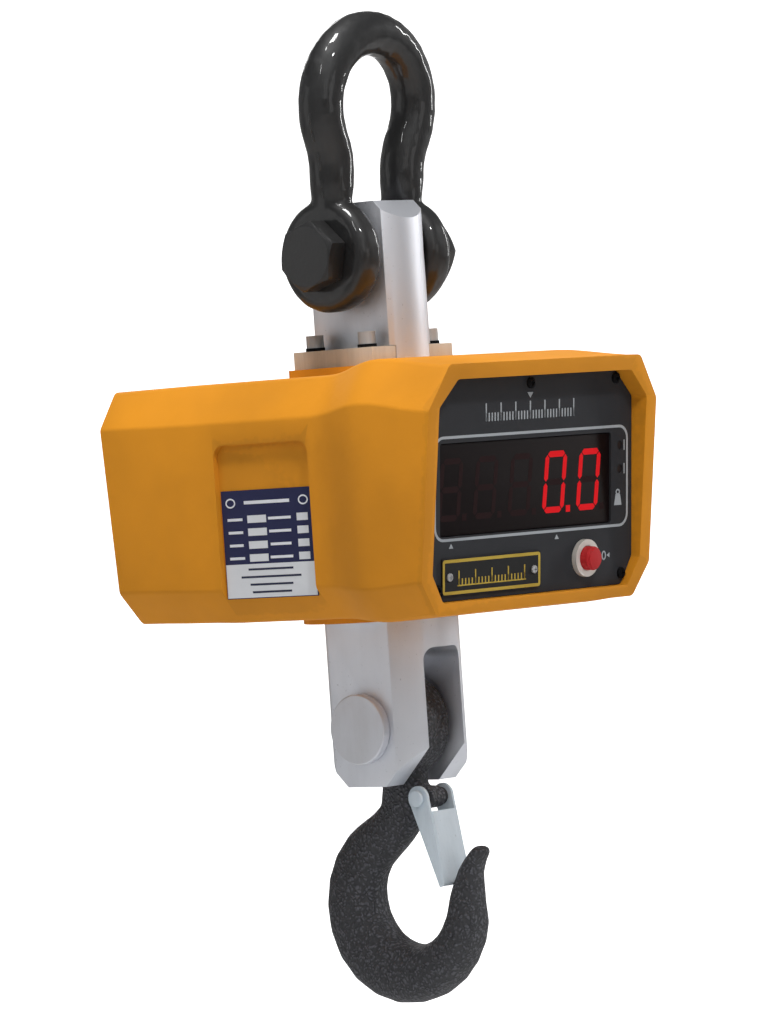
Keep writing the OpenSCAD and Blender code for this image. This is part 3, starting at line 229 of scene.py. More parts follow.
def hammertone_group() -> bpy.types.NodeTree:
    """Hammered enamel: shallow rounded cells that catch the light, worn on the edges, with painted highlights
    on the cell tops and painted shade in the creases between the cells.
    """
    g, i, out = effect_tree(Effect.HAMMERTONE, {
        "Base": WHITE, "Worn": WHITE, "Gloss": 0.25, "Cells": 420.0, "Chips": 0.3, "Dust": 0.1,
    })
    where = g.add("ShaderNodeTexCoord").outputs["Object"]
    warp = g.add("ShaderNodeVectorMath", {0: where, 1: (0.0, 0.0, 0.0)}, operation="ADD").outputs[0]
    drift = g.add("ShaderNodeTexNoise", {"Vector": where, "Scale": 180.0, "Detail": 1.0}).outputs["Color"]
    small = g.add("ShaderNodeVectorMath", {0: drift, "Scale": 0.004}, operation="SCALE").outputs[0]
    g.tree.links.new(small, warp.node.inputs[1])
    cells = g.add("ShaderNodeTexVoronoi", {"Vector": warp, "Scale": i["Cells"], "Smoothness": 0.6},
                  feature="SMOOTH_F1").outputs["Distance"]
    domes = g.ramp(cells, 0.75, 0.1)
    broad = g.noise(where, 25.0, 4.0)
    edge = g.add("ShaderNodeNewGeometry").outputs["Pointiness"]
    chipped = g.math("MULTIPLY", g.ramp(edge, 0.57, 0.64), i["Chips"], clamp=True)
    # Painted light: the cell tops are painted lighter as a painted highlight, and the creases between the
    # cells darker as painted shade.
    lit = g.mix(g.ramp(domes, 0.35, 1.0), g.mix(0.7, i["Base"], (0, 0, 0, 1)), i["Base"])
    color = g.mix(chipped, lit, i["Worn"])
    color, extra = dusted(g, color, i["Dust"], where)
    rough = g.math("ADD", g.math("ADD", i["Gloss"], g.math("MULTIPLY", broad, 0.12)), extra)
    g.tree.links.new(color, out.inputs["Color"])
    g.tree.links.new(rough, out.inputs["Roughness"])
    g.tree.links.new(domes, out.inputs["Height"])
    return g.tree


def metal_group() -> bpy.types.NodeTree:
    """Plated or machined steel: vertical grain, smudges, stains and fine pits."""
    g, i, out = effect_tree(Effect.METAL, {
        "Base": WHITE, "Stain": WHITE, "Gloss": 0.2, "Grain": 0.4, "Stains": 0.3, "Dust": 0.05,
    })
    where = g.add("ShaderNodeTexCoord").outputs["Object"]
    streaks = g.noise(g.stretched(where, (900.0, 900.0, 18.0)), 1.0, 3.0)
    cloudy = g.noise(g.stretched(where, (30.0, 30.0, 12.0)), 1.0, 5.0)
    pits = g.ramp(g.noise(where, 700.0, 2.0), 0.68, 0.8)
    stain = g.math("MULTIPLY", g.ramp(cloudy, 0.42, 0.75), i["Stains"])
    color = g.mix(stain, i["Base"], i["Stain"])
    color = g.mix(g.math("MULTIPLY", pits, 0.35), color, g.mix(0.6, i["Stain"], (0, 0, 0, 1)))
    color, extra = dusted(g, color, i["Dust"], where)
    grain = g.math("MULTIPLY", g.math("SUBTRACT", streaks, 0.5), i["Grain"])
    rough = g.math("ADD", g.math("ADD", i["Gloss"], g.math("MULTIPLY", grain, 0.5)),
                   g.math("MULTIPLY", stain, 0.25))
    g.tree.links.new(color, out.inputs["Color"])
    g.tree.links.new(g.math("ADD", rough, extra, clamp=True), out.inputs["Roughness"])
    g.tree.links.new(g.math("SUBTRACT", grain, g.math("MULTIPLY", pits, 0.8)), out.inputs["Height"])
    return g.tree


def moulded_group() -> bpy.types.NodeTree:
    """Moulded or printed plastic, rubber and ink: fine grain, rubbed patches and hair scratches."""
    g, i, out = effect_tree(Effect.MOULDED, {
        "Base": WHITE, "Rubbed": WHITE, "Gloss": 0.3, "Grain Scale": 900.0, "Grain": 0.5, "Wear": 0.2,
        "Dust": 0.1,
    })
    where = g.add("ShaderNodeTexCoord").outputs["Object"]
    grain = g.noise(where, i["Grain Scale"], 2.0)
    broad = g.noise(where, 30.0, 5.0)
    scratch = g.ramp(g.noise(g.stretched(where, (40.0, 40.0, 1500.0)), 1.0, 2.0), 0.66, 0.72)
    worn = g.math("MULTIPLY", g.ramp(broad, 0.45, 0.8), i["Wear"])
    marks = g.math("MULTIPLY", scratch, g.math("MULTIPLY", i["Wear"], 0.35))
    color = g.mix(g.math("ADD", worn, marks, clamp=True), i["Base"], i["Rubbed"])
    color, extra = dusted(g, color, i["Dust"], where)
    rough = g.math("ADD", g.math("ADD", i["Gloss"], g.math("MULTIPLY", worn, 0.2)), extra)
    g.tree.links.new(color, out.inputs["Color"])
    g.tree.links.new(rough, out.inputs["Roughness"])
    g.tree.links.new(g.math("MULTIPLY", grain, i["Grain"]), out.inputs["Height"])
    return g.tree


GROUP_MAKERS: dict[Effect, Callable[[], bpy.types.NodeTree]] = {
    Effect.ENAMEL: enamel_group,
    Effect.HAMMERTONE: hammertone_group,
    Effect.METAL: metal_group,
    Effect.MOULDED: moulded_group,
}


@dataclass(frozen=True)
class Finish:
    """One surface finish.

    Args:
        effect: Shared shader group that makes its patterns.
        base: Main colour, as hex.
        second: Colour of wear, stains or rubbing, as hex.
        values: Other inputs of the group.
        metallic: Share of metal.
        coat: Weight of the clear coat.
        depth: Height of the bump, in metres.
        glow: Strength of the base colour's own light.
        specular: Strength of the mirror reflection of a surface that isn't metal.
    """

    effect: Effect
    base: str
    second: str
    values: dict[str, float]
    metallic: float = 0.0
    coat: float = 0.0
    depth: float = 0.0001
    glow: float = 0.0
    specular: float = 0.5

    def material(self, name: str) -> bpy.types.Material:
        """Makes the material, or returns it if it's there already."""
        label = f"{name}_finish"
        if label in bpy.data.materials:
            return bpy.data.materials[label]
        group = bpy.data.node_groups.get(self.effect.value) or GROUP_MAKERS[self.effect]()
        made = bpy.data.materials.new(label)
        made.use_nodes = True
        graph = Graph(made.node_tree)
        shader = made.node_tree.nodes["Principled BSDF"]
        pattern = graph.add("ShaderNodeGroup", node_tree=group)
        pattern.inputs[0].default_value = linear(self.base)
        pattern.inputs[1].default_value = linear(self.second)
        for key, value in self.values.items():
            pattern.inputs[key].default_value = value
        bump = graph.add("ShaderNodeBump", {"Height": pattern.outputs["Height"], "Strength": 1.0})
        bump.inputs["Distance"].default_value = self.depth
        links = made.node_tree.links
        links.new(pattern.outputs["Color"], shader.inputs["Base Color"])
        links.new(pattern.outputs["Roughness"], shader.inputs["Roughness"])
        links.new(bump.outputs["Normal"], shader.inputs["Normal"])
        shader.inputs["Metallic"].default_value = self.metallic
        shader.inputs["Coat Weight"].default_value = self.coat
        shader.inputs["Coat Roughness"].default_value = 0.04
        shader.inputs["Specular IOR Level"].default_value = self.specular
        if self.glow:
            links.new(pattern.outputs["Color"], shader.inputs["Emission Color"])
            shader.inputs["Emission Strength"].default_value = self.glow
        return made


def enamel(base: str, worn: str, gloss: float, peel: float = 1.0, chips: float = 0.3, dust: float = 0.1,
           peel_scale: float = 500.0, **more: float) -> Finish:
    """An enamel finish with its group's inputs named."""
    values = {"Gloss": gloss, "Peel": peel, "Chips": chips, "Dust": dust, "Peel Scale": peel_scale}
    return Finish(Effect.ENAMEL, base, worn, values, **more)


def steel(base: str, stain: str, gloss: float, grain: float = 0.4, stains: float = 0.3, dust: float = 0.05,
          **more: float) -> Finish:
    """A metal finish with its group's inputs named."""
    values = {"Gloss": gloss, "Grain": grain, "Stains": stains, "Dust": dust}
    return Finish(Effect.METAL, base, stain, values, metallic=1.0, **more)


def moulded(base: str, rubbed: str, gloss: float, grain: float = 0.5, wear: float = 0.2, dust: float = 0.1,
            **more: float) -> Finish:
    """A plastic, rubber or ink finish with its group's inputs named."""
    values = {"Gloss": gloss, "Grain": grain, "Wear": wear, "Dust": dust}
    return Finish(Effect.MOULDED, base, rubbed, values, **more)


# Finish of each material slot of the record
SLOTS: dict[str, Finish] = {
    "black_forging": enamel("0b0b0d", "242426", 0.04, peel=0.35, chips=0.1, dust=0.02, peel_scale=420.0,
                            depth=0.00022, specular=0.5, coat=0.6),
    "black_bolt": enamel("0c0c0e", "29292b", 0.06, peel=0.5, chips=0.15, dust=0.02, depth=0.0002,
                         specular=0.5, coat=0.5),
    "polished_steel": steel("e2e4ea", "acaeb4", 0.03, grain=0.16, stains=0.25, depth=0.00003),
    "plain_steel": steel("b9babc", "8c8a86", 0.32),
    "keeper_steel": steel("e2dace", "b0a698", 0.3, grain=0.5, stains=0.5),
    "cable": moulded("161616", "2b2b2b", 0.45),
    "screw_steel": steel("c9c9ca", "8d8b88", 0.22, stains=0.4, depth=0.00003),
    "black_oxide": steel("2b2b2d", "1b1a19", 0.38, stains=0.5, depth=0.00004),
    "orange_paint": enamel("e2931b", "6a4a22", 0.16, peel=0.5, chips=0.12, dust=0.02, depth=0.0001,
                           specular=0.28),
    "rubber": moulded("121212", "2a2928", 0.62, grain=0.8),
    "panel_grey": moulded("2a2b2f", "3c3e43", 0.3, grain=0.7, wear=0.2, dust=0.03, depth=0.00003,
                          specular=0.35),
    "window_red": moulded("0c0203", "100304", 0.05, grain=0.05, wear=0.05, dust=0.0, depth=0.00001,
                          specular=0.12),
    "module_black": moulded("1a1a1b", "2d2d2e", 0.4),
    "board_green": moulded("1c5a35", "2d6e47", 0.35, wear=0.1),
    "brass_spacer": steel("c8a055", "8a6c35", 0.28),
    "status_red": moulded("120304", "220708", 0.12, wear=0.05, depth=0.00001),
    "bezel_chrome": Finish(
        Effect.METAL, "e9e6e0", "bdb8ae", {"Gloss": 0.24, "Grain": 0.1, "Stains": 0.3, "Dust": 0.02},
        metallic=0.75, depth=0.00001,
    ),
    "button_red": moulded("b80a12", "cf3339", 0.12, grain=0.1, wear=0.12, dust=0.01, depth=0.00002),
    "nameplate_black": moulded("0a0a0b", "1c1a18", 0.3, grain=0.3, wear=0.3, depth=0.00002),
    "data_blue": moulded("171b45", "2c305a", 0.3, grain=0.2, wear=0.25, depth=0.00002),
    "battery_grey": moulded("33363b", "47494d", 0.42),
    "lead_red": moulded("8f1512", "a83a34", 0.4),
    "rocker_red": moulded("a3120f", "b94340", 0.2, coat=0.5),
    "plated_pin": steel("e0e2e8", "b2aea7", 0.1, grain=0.2, stains=0.3, depth=0.00003),
    "hammered_black": Finish(
        Effect.HAMMERTONE, "54555c", "77787e",
        {"Gloss": 0.06, "Cells": 640.0, "Chips": 0.15, "Dust": 0.02}, depth=0.0007, specular=0.6,
    ),
    "zinc_sheet": steel("e4ecf2", "b8bfc4", 0.3, grain=0.4, stains=0.45, depth=0.00003),
    "spring_steel": steel("57575a", "2f2d2b", 0.3),
}
# Finishes of what is printed, raised or lit
INK = moulded("a9aeb3", "7f8489", 0.45, grain=0.2, wear=0.35, dust=0.02, depth=0.00001)
LABEL_INK = moulded("dfe1e6", "a9acb8", 0.4, grain=0.2, wear=0.3, dust=0.02, depth=0.00001)
FOIL = moulded("d6d8dc", "a2a4a8", 0.28, grain=0.3, wear=0.3, dust=0.02, depth=0.00002)
LABEL_DARK = moulded("2c2f45", "4c4f62", 0.4, grain=0.2, wear=0.3, dust=0.02, depth=0.00001)
BRASS = Finish(Effect.METAL, "cdb24e", "98792c", {"Gloss": 0.3, "Grain": 0.3, "Stains": 0.4, "Dust": 0.02},
               metallic=0.55, depth=0.00002)
LIT = moulded("c01018", "cc2026", 0.2, grain=0.05, wear=0.1, dust=0.0, glow=0.5, depth=0.00001, specular=0.1)
GHOST = moulded("1e0507", "240608", 0.05, grain=0.05, wear=0.1, dust=0.0, depth=0.00001, specular=0.12)


def local_box(node: str, place: Matrix) -> tuple[Vector, Vector]:
    """Lowest and highest corner of a CAD node in a local frame, in mm."""
    turned = [place.inverted() @ v.co / MM for v in frame["nodes"][node].data.vertices]
    return Vector(map(min, zip(*turned))), Vector(map(max, zip(*turned)))


def seat(name: str, mesh: bpy.types.Mesh, finish: Finish, rides: Rides, slot: str = "",
         replaced: Iterable[str] = ()) -> bpy.types.Object:
    """Puts a finished mesh, already in the row frame, on a CAD body.

    Args:
        name: Name of the piece and of its material.
        mesh: Its mesh, in row coordinates.
        finish: Its surface.
        rides: Body that it moves with.
        slot: Material slot of the record that it takes its finish from.
        replaced: CAD nodes that it stands for.

    Returns:
        The new object.
    """
    piece = bpy.data.objects.new(name, mesh)
    bpy.context.scene.collection.objects.link(piece)
    mesh.materials.clear()
    mesh.materials.append(finish.material(slot or name))
    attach(piece, rides.value)
    if replaced:
        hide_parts(*replaced)
    LOG.info("%s: %d faces", name, len(mesh.polygons))
    return piece


def evaluated(scratch: bpy.types.Object) -> bpy.types.Mesh:
    """Returns the mesh that an object's modifiers make, and removes the object."""
    bpy.context.view_layer.update()
    graph = bpy.context.evaluated_depsgraph_get()
    mesh = bpy.data.meshes.new_from_object(scratch.evaluated_get(graph))
    scratch.modifiers.clear()
    bpy.data.objects.remove(scratch)
    return mesh


def scratch_copy(node: str) -> bpy.types.Object:
    """A free copy of a CAD node's mesh with its seams closed, to be refined."""
    mesh = frame["nodes"][node].data.copy()
    shape = bmesh.new()
    shape.from_mesh(mesh)
    bmesh.ops.remove_doubles(shape, verts=shape.verts, dist=2e-6)
    bmesh.ops.dissolve_limit(shape, angle_limit=math.radians(0.6), verts=shape.verts, edges=shape.edges)
    shape.to_mesh(mesh)
    shape.free()
    made = bpy.data.objects.new(f"scratch_{node}", mesh)
    bpy.context.scene.collection.objects.link(made)
    return made


@dataclass(frozen=True)
class CastSkin:
    """A casting's or forging's real skin: soft edges and slightly uneven faces.

    Args:
        node: CAD node that it stands for.
        voxel: Size of its mesh, in metres.
        rounds: Smoothing rounds, which set how soft the edges are.
        lump: Height of the unevenness, in metres.
        lump_size: Width of the unevenness, in metres.
    """

    node: str
    voxel: float
    rounds: int
    lump: float
    lump_size: float

    def mesh(self) -> bpy.types.Mesh:
        """Remeshes the CAD node, softens it and makes its faces uneven."""
        rough = scratch_copy(self.node)
        remesh = rough.modifiers.new("remesh", "REMESH")
        remesh.mode, remesh.voxel_size = "VOXEL", self.voxel
        soften = rough.modifiers.new("soften", "SMOOTH")
        soften.factor, soften.iterations = 0.5, self.rounds
        made = evaluated(rough)
        count = len(made.vertices)
        place, facing = np.zeros(count * 3), np.zeros(count * 3)
        made.vertices.foreach_get("co", place)
        made.vertices.foreach_get("normal", facing)
        place, facing = place.reshape(-1, 3), facing.reshape(-1, 3)
        push = np.array([noise.noise(Vector(p) / self.lump_size) for p in place])
        low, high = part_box(self.node)
        place = np.clip(place + facing * (push[:, None] - 0.4) * self.lump, list(low), list(high))
        made.vertices.foreach_set("co", place.ravel())
        made.shade_smooth()
        made.update()
        return made


@dataclass(frozen=True)
class SoftEdges:
    """A machined or moulded piece whose edges are broken by a small bevel.

    Args:
        node: CAD node that it stands for.
        width: Width of the bevel, in metres.
    """

    node: str
    width: float

    def mesh(self) -> bpy.types.Mesh:
        """Bevels a copy of the CAD node."""
        rough = scratch_copy(self.node)
        bevel = rough.modifiers.new("bevel", "BEVEL")
        bevel.width, bevel.segments = self.width, 3
        bevel.limit_method, bevel.angle_limit = "ANGLE", math.radians(28)
        bevel.use_clamp_overlap = True
        made = evaluated(rough)
        made.shade_smooth()
        made.set_sharp_from_angle(angle=math.radians(24))
        return made


class Sheet:
    """Thin flat shapes on one face, gathered into one mesh.

    Local x is right, z is up and -y is outwards, in millimetres.
    """

    def __init__(self, place: Matrix, lift: float, thick: float = 0.05) -> None:
        """Starts an empty sheet.

        Args:
            place: Local frame of the face, in the row frame.
            lift: Height of the shapes' outer faces above the face, in mm.
            thick: Thickness of the shapes, in mm.
        """
        self.place, self.front, self.back = place, -lift, thick - lift
        self.shape = bmesh.new()

    def polygon(self, points: Sequence[Point]) -> None:
        """Adds a flat closed solid with this outline."""
        area = sum(a[0] * b[1] - b[0] * a[1] for a, b in zip(points, [*points[1:], points[0]]))
        ring = list(points) if area > 0 else list(reversed(points))
        front = [self.shape.verts.new((x, self.front, z)) for x, z in ring]
        back = [self.shape.verts.new((x, self.back, z)) for x, z in ring]
        self.shape.faces.new(front)
        self.shape.faces.new(list(reversed(back)))
        for k, a in enumerate(front):
            n = (k + 1) % len(ring)
            self.shape.faces.new((a, back[k], back[n], front[n]))

    def bar(self, x: float, z: float, wide: float, high: float) -> None:
        """Adds a rectangle by its middle and size."""
        dx, dz = wide / 2, high / 2
        self.polygon([(x - dx, z - dz), (x + dx, z - dz), (x + dx, z + dz), (x - dx, z + dz)])

    def ribbon(self, line: Sequence[Point], wide: float, closed: bool = False) -> None:
        """Adds a band of even width along a line, with mitred bends."""
        count = len(line)
        pts = [Vector(p) for p in line]
        sides = []
        for k, p in enumerate(pts):
            before = p - pts[k - 1] if closed or k else pts[1] - p
            after = pts[(k + 1) % count] - p if closed or k < count - 1 else p - pts[k - 1]
            before, after = before.normalized(), after.normalized()
            across = Vector((-(before + after).y, (before + after).x)).normalized()
            reach = wide / 2 / max(0.4, across.dot(Vector((-before.y, before.x))))
            sides.append((p + across * reach, p - across * reach))
        for k in range(count if closed else count - 1):
            (a, b), (c, d) = sides[k], sides[(k + 1) % count]
            self.polygon([tuple(b), tuple(d), tuple(c), tuple(a)])

    def ring(self, x: float, z: float, wide: float, high: float, band: float) -> None:
        """Adds an oval ring."""
        steps = 28
        turns = [math.tau * k / steps for k in range(steps)]
        self.ribbon([(x + wide / 2 * math.cos(t), z + high / 2 * math.sin(t)) for t in turns], band, True)

    def mesh(self, name: str) -> bpy.types.Mesh:
        """Finishes the mesh, in row coordinates."""
        made = bpy.data.meshes.new(name)
        bmesh.ops.recalc_face_normals(self.shape, faces=self.shape.faces)
        self.shape.to_mesh(made)
        self.shape.free()
        made.transform(self.place @ Matrix.Diagonal((MM, MM, MM, 1)))
        return made


def box_outline(x: Point, z: Point, r: float, steps: int = 6) -> list[Point]:
    """Points round a rectangle with round corners, in order."""
    corners = [
        (x[1] - r, z[1] - r, 0), (x[0] + r, z[1] - r, 90),
        (x[0] + r, z[0] + r, 180), (x[1] - r, z[0] + r, 270),
    ]
    return [
        (cx + r * math.cos(math.radians(a + 90 * k / steps)),
         cz + r * math.sin(math.radians(a + 90 * k / steps)))
        for cx, cz, a in corners
        for k in range(steps + 1)
    ]


class BarGrid:
    """Geometry Nodes group that lays out a grid of small bars, some shorter than others."""

    INPUTS = (
        ("Columns", "NodeSocketInt"), ("Rows", "NodeSocketInt"), ("Across", "NodeSocketFloat"),
        ("Up", "NodeSocketFloat"), ("Bar Size", "NodeSocketVector"), ("Shortest", "NodeSocketFloat"),
        ("Seed", "NodeSocketInt"), ("Material", "NodeSocketMaterial"),
    )

    def __init__(self) -> None:
        tree = bpy.data.node_groups.new("bar_grid", "GeometryNodeTree")
        for name, kind in self.INPUTS:
            tree.interface.new_socket(name, in_out="INPUT", socket_type=kind)
        tree.interface.new_socket("Geometry", in_out="OUTPUT", socket_type="NodeSocketGeometry")
        self.tree = tree
        g = Graph(tree)
        i = {s.name: s for s in g.add("NodeGroupInput").outputs}
        grid = g.add("GeometryNodeMeshGrid", {
            "Size X": i["Across"], "Size Y": i["Up"], "Vertices X": i["Columns"], "Vertices Y": i["Rows"],
        })
        upright = g.add("GeometryNodeTransform",
                        {"Geometry": grid.outputs[0], "Rotation": (math.pi / 2, 0, 0)})
        bar = g.add("GeometryNodeMeshCube", {"Size": i["Bar Size"]})
        length = g.add("FunctionNodeRandomValue", {2: i["Shortest"], 3: 1.0, "Seed": i["Seed"]},
                       data_type="FLOAT")
        scale = g.add("ShaderNodeCombineXYZ", {"X": length.outputs[1], "Y": 1.0, "Z": 1.0})
        spread = g.add("GeometryNodeInstanceOnPoints", {
            "Points": upright.outputs[0], "Instance": bar.outputs[0], "Scale": scale.outputs[0],
        })
        whole = g.add("GeometryNodeRealizeInstances", {"Geometry": spread.outputs[0]})
        dressed = g.add("GeometryNodeSetMaterial", {"Geometry": whole.outputs[0], "Material": i["Material"]})
        g.add("NodeGroupOutput", {0: dressed.outputs[0]})

    def build(self, name: str, place: Matrix, middle: Point, finish: Finish, rides: Rides,
              **values: object) -> bpy.types.Object:
        """Makes one grid.

        Args:
            name: Name of the piece.
            place: Local frame of the face, in the row frame.
            middle: Middle of the grid on that face, in mm.
            finish: Its surface.
            rides: Body that it moves with.
            **values: Inputs of the group, with underscores for spaces; lengths in mm.
        """
        holder = bpy.data.objects.new(f"scratch_{name}", bpy.data.meshes.new(name))
        bpy.context.scene.collection.objects.link(holder)
        modifier = holder.modifiers.new("grid", "NODES")
        modifier.node_group = self.tree
        ids = {s.name: s.identifier for s in self.tree.interface.items_tree if s.in_out == "INPUT"}
        for key, value in values.items():
            modifier[ids[key.replace("_", " ")]] = value
        modifier[ids["Material"]] = finish.material(name)
        mesh = evaluated(holder)
        mesh.transform(
            place @ Matrix.Diagonal((MM, MM, MM, 1)) @ Matrix.Translation((middle[0], 0, middle[1])))
        return seat(name, mesh, finish, rides)


class RaisedMarks:
    """Geometry Nodes group that sets a small raised pip on each point of a mesh, square to its facing."""

    def __init__(self) -> None:
        tree = bpy.data.node_groups.new("raised_marks", "GeometryNodeTree")
        for name, kind in (("Geometry", "NodeSocketGeometry"), ("Pip Size", "NodeSocketVector"),
                           ("Shortest", "NodeSocketFloat"), ("Seed", "NodeSocketInt"),
                           ("Material", "NodeSocketMaterial")):
            tree.interface.new_socket(name, in_out="INPUT", socket_type=kind)
        tree.interface.new_socket("Geometry", in_out="OUTPUT", socket_type="NodeSocketGeometry")
        self.tree = tree
        g = Graph(tree)
        i = {s.name: s for s in g.add("NodeGroupInput").outputs}
        facing = g.add("GeometryNodeInputNamedAttribute", {"Name": "facing"}, data_type="FLOAT_VECTOR")
        turn = g.add("FunctionNodeAlignRotationToVector", {"Vector": facing.outputs[0]}, axis="Z")
        pip = g.add("GeometryNodeMeshUVSphere", {"Segments": 12, "Rings": 8, "Radius": 0.5})
        shaped = g.add("GeometryNodeTransform", {"Geometry": pip.outputs[0], "Scale": i["Pip Size"]})
        size = g.add("FunctionNodeRandomValue", {2: i["Shortest"], 3: 1.0, "Seed": i["Seed"]},
                     data_type="FLOAT")
        spread = g.add("GeometryNodeInstanceOnPoints", {
            "Points": i["Geometry"], "Instance": shaped.outputs[0], "Rotation": turn.outputs[0],
            "Scale": size.outputs[1],
        })
        whole = g.add("GeometryNodeRealizeInstances", {"Geometry": spread.outputs[0]})
        smooth = g.add("GeometryNodeSetShadeSmooth", {"Geometry": whole.outputs[0]})
        dressed = g.add("GeometryNodeSetMaterial", {"Geometry": smooth.outputs[0], "Material": i["Material"]})
        g.add("NodeGroupOutput", {0: dressed.outputs[0]})

    def build(self, name: str, on: bpy.types.Object, starts: Sequence[Vector], aim: Vector, size: Vector,
              slot: str, rides: Rides) -> None:
        """Drops points onto a piece along one direction and raises a pip on each.

        Args:
            name: Name of the new piece.
            on: Piece that carries the marks.
            starts: Points outside it, in the row frame.
            aim: Direction towards it.
            size: Size of a pip, in metres.
            slot: Material slot whose finish the marks share.
            rides: Body that they move with.
        """
        tree = BVHTree.FromPolygons([v.co for v in on.data.vertices], [p.vertices for p in on.data.polygons])
        hits = [h for h in (tree.ray_cast(p, aim) for p in starts) if h[0] is not None]
        holder_mesh = bpy.data.meshes.new(name)
        holder_mesh.from_pydata([h[0] for h in hits], [], [])
        facing = holder_mesh.attributes.new("facing", "FLOAT_VECTOR", "POINT")
        facing.data.foreach_set("vector", np.array([h[1] for h in hits], np.float32).ravel())
        holder = bpy.data.objects.new(f"scratch_{name}", holder_mesh)
        bpy.context.scene.collection.objects.link(holder)
        modifier = holder.modifiers.new("marks", "NODES")
        modifier.node_group = self.tree
        ids = {s.name: s.identifier for s in self.tree.interface.items_tree if s.in_out == "INPUT"}
        modifier[ids["Pip Size"]] = tuple(size)
        modifier[ids["Shortest"]] = 0.75
        modifier[ids["Seed"]] = 4
        modifier[ids["Material"]] = SLOTS[slot].material(slot)
        seat(name, evaluated(holder), SLOTS[slot], rides, slot)


@dataclass
class SubAssembly:
    """A group of CAD nodes with the finer pieces that stand for some of them."""

    rides: Rides
    skins: tuple[CastSkin | SoftEdges, ...] = ()
    made: dict[str, bpy.types.Object] = field(default_factory=dict)

    def build(self) -> None:
        """Makes the finer pieces."""
        for skin in self.skins:
            slot = slot_of(skin.node)
            piece = seat(f"{skin.node}_skin", skin.mesh(), SLOTS[slot], self.rides, slot, [skin.node])
            self.made[skin.node] = piece


def slot_of(node: str) -> str:
    """Material slot of a CAD node, from the record."""
    return next(s["material_slot"] for s in frame["record"]["subparts"] if s["node"] == node)


@dataclass
class HangingEnd(SubAssembly):
    """Bow shackle with its bolt and nut."""

    rides: Rides = Rides.SHACKLE
    skins: tuple = (
        CastSkin("shackle_bow", 0.0009, 9, 0.0002, 0.005),
        SoftEdges("shackle_bolt", 0.0009),
        SoftEdges("shackle_nut", 0.0006),
    )

    def build(self) -> None:
        """Adds worn forging marks to the bow's left leg."""
        super().build()
        bow = self.made["shackle_bow"]
        starts = [
            Vector((-80, 9.2 * (30 + k * 4.5) / 95.6 - 2.0, -(30 + k * 4.5))) * MM
            for k in range(9) if k not in (3, 6)
        ]
        RaisedMarks().build("shackle_marks", bow, starts, Vector((1, 0, 0)), Vector((6.0, 1.6, 1.0)) * MM,
                            "black_forging", self.rides)


@dataclass
class LoadBar(SubAssembly):
    """Lug, clevis and keeper plates."""

    rides: Rides = Rides.SCALE
    skins: tuple = (
        SoftEdges("load_cell", 0.0006),
        SoftEdges("keeper_plate_left", 0.0004),
        SoftEdges("keeper_plate_right", 0.0004),
        SoftEdges("hook_pin", 0.0004),
    )


@dataclass
class Housing(SubAssembly):
    """Cast housing with the label on its left side."""

    rides: Rides = Rides.SCALE
    skins: tuple = (SoftEdges("housing", 0.001), SoftEdges("rear_cover", 0.0004))
    grid: BarGrid | None = None

    def build(self) -> None:
        """Adds the printing of the data plate."""
        super().build()
        low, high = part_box("data_plate")
        middle = (low + high) / 2
        place = Matrix.Translation((low.x, middle.y, middle.z)) @ LEFT_SIDE
        wide, high_mm = (high.y - low.y) / MM, (high.z - low.z) / MM
        strip = high_mm * 0.31
        foil = Sheet(place, 0.06)
        foil.bar(0, -high_mm / 2 + strip / 2 + 0.4, wide - 0.8, strip)
        rows, first_row, row_pitch = 4, 14, 6.2
        top = high_mm / 2
        for k in range(rows):
            z = top - first_row - k * row_pitch
            foil.bar(-wide * 0.12, z, 12, 3.6)
            foil.bar(wide * 0.38, z, 7, 3.6)
        seat("label_foil", foil.mesh("label_foil"), FOIL, self.rides)
        badge = Sheet(place, 0.08)
        for x in (-wide * 0.4, wide * 0.4):
            badge.ring(x, top - 6, 5.5, 4, 0.7)
        badge.bar(0, top - 6, wide * 0.5, 1.6)
        seat("label_badges", badge.mesh("label_badges"), LABEL_INK, self.rides)
        grid = self.grid
        tall = row_pitch * (rows - 1)
        columns = (("label_left_words", -wide * 0.36, 10.0), ("label_right_words", wide * 0.13, 15.0))
        for name, x, width in columns:
            grid.build(name, place, (x, top - first_row - tall / 2), LABEL_INK, self.rides, Columns=1,
                       Rows=rows, Across=0.0, Up=tall, Bar_Size=(width, 0.16, 1.3), Shortest=0.6, Seed=3)
        grid.build("label_foot_words", place, (0.0, -top + strip / 2 + 0.4), LABEL_DARK, self.rides,
                   Columns=1, Rows=4, Across=0.0, Up=strip * 0.68, Bar_Size=(wide * 0.66, 0.2, 1.0),
                   Shortest=0.55, Seed=8)


SEGMENTS = {"a": (0, 1, 0), "g": (0, 0, 0), "d": (0, -1, 0), "f": (-1, 0.5, 1), "b": (1, 0.5, 1),
            "e": (-1, -0.5, 1), "c": (1, -0.5, 1)}


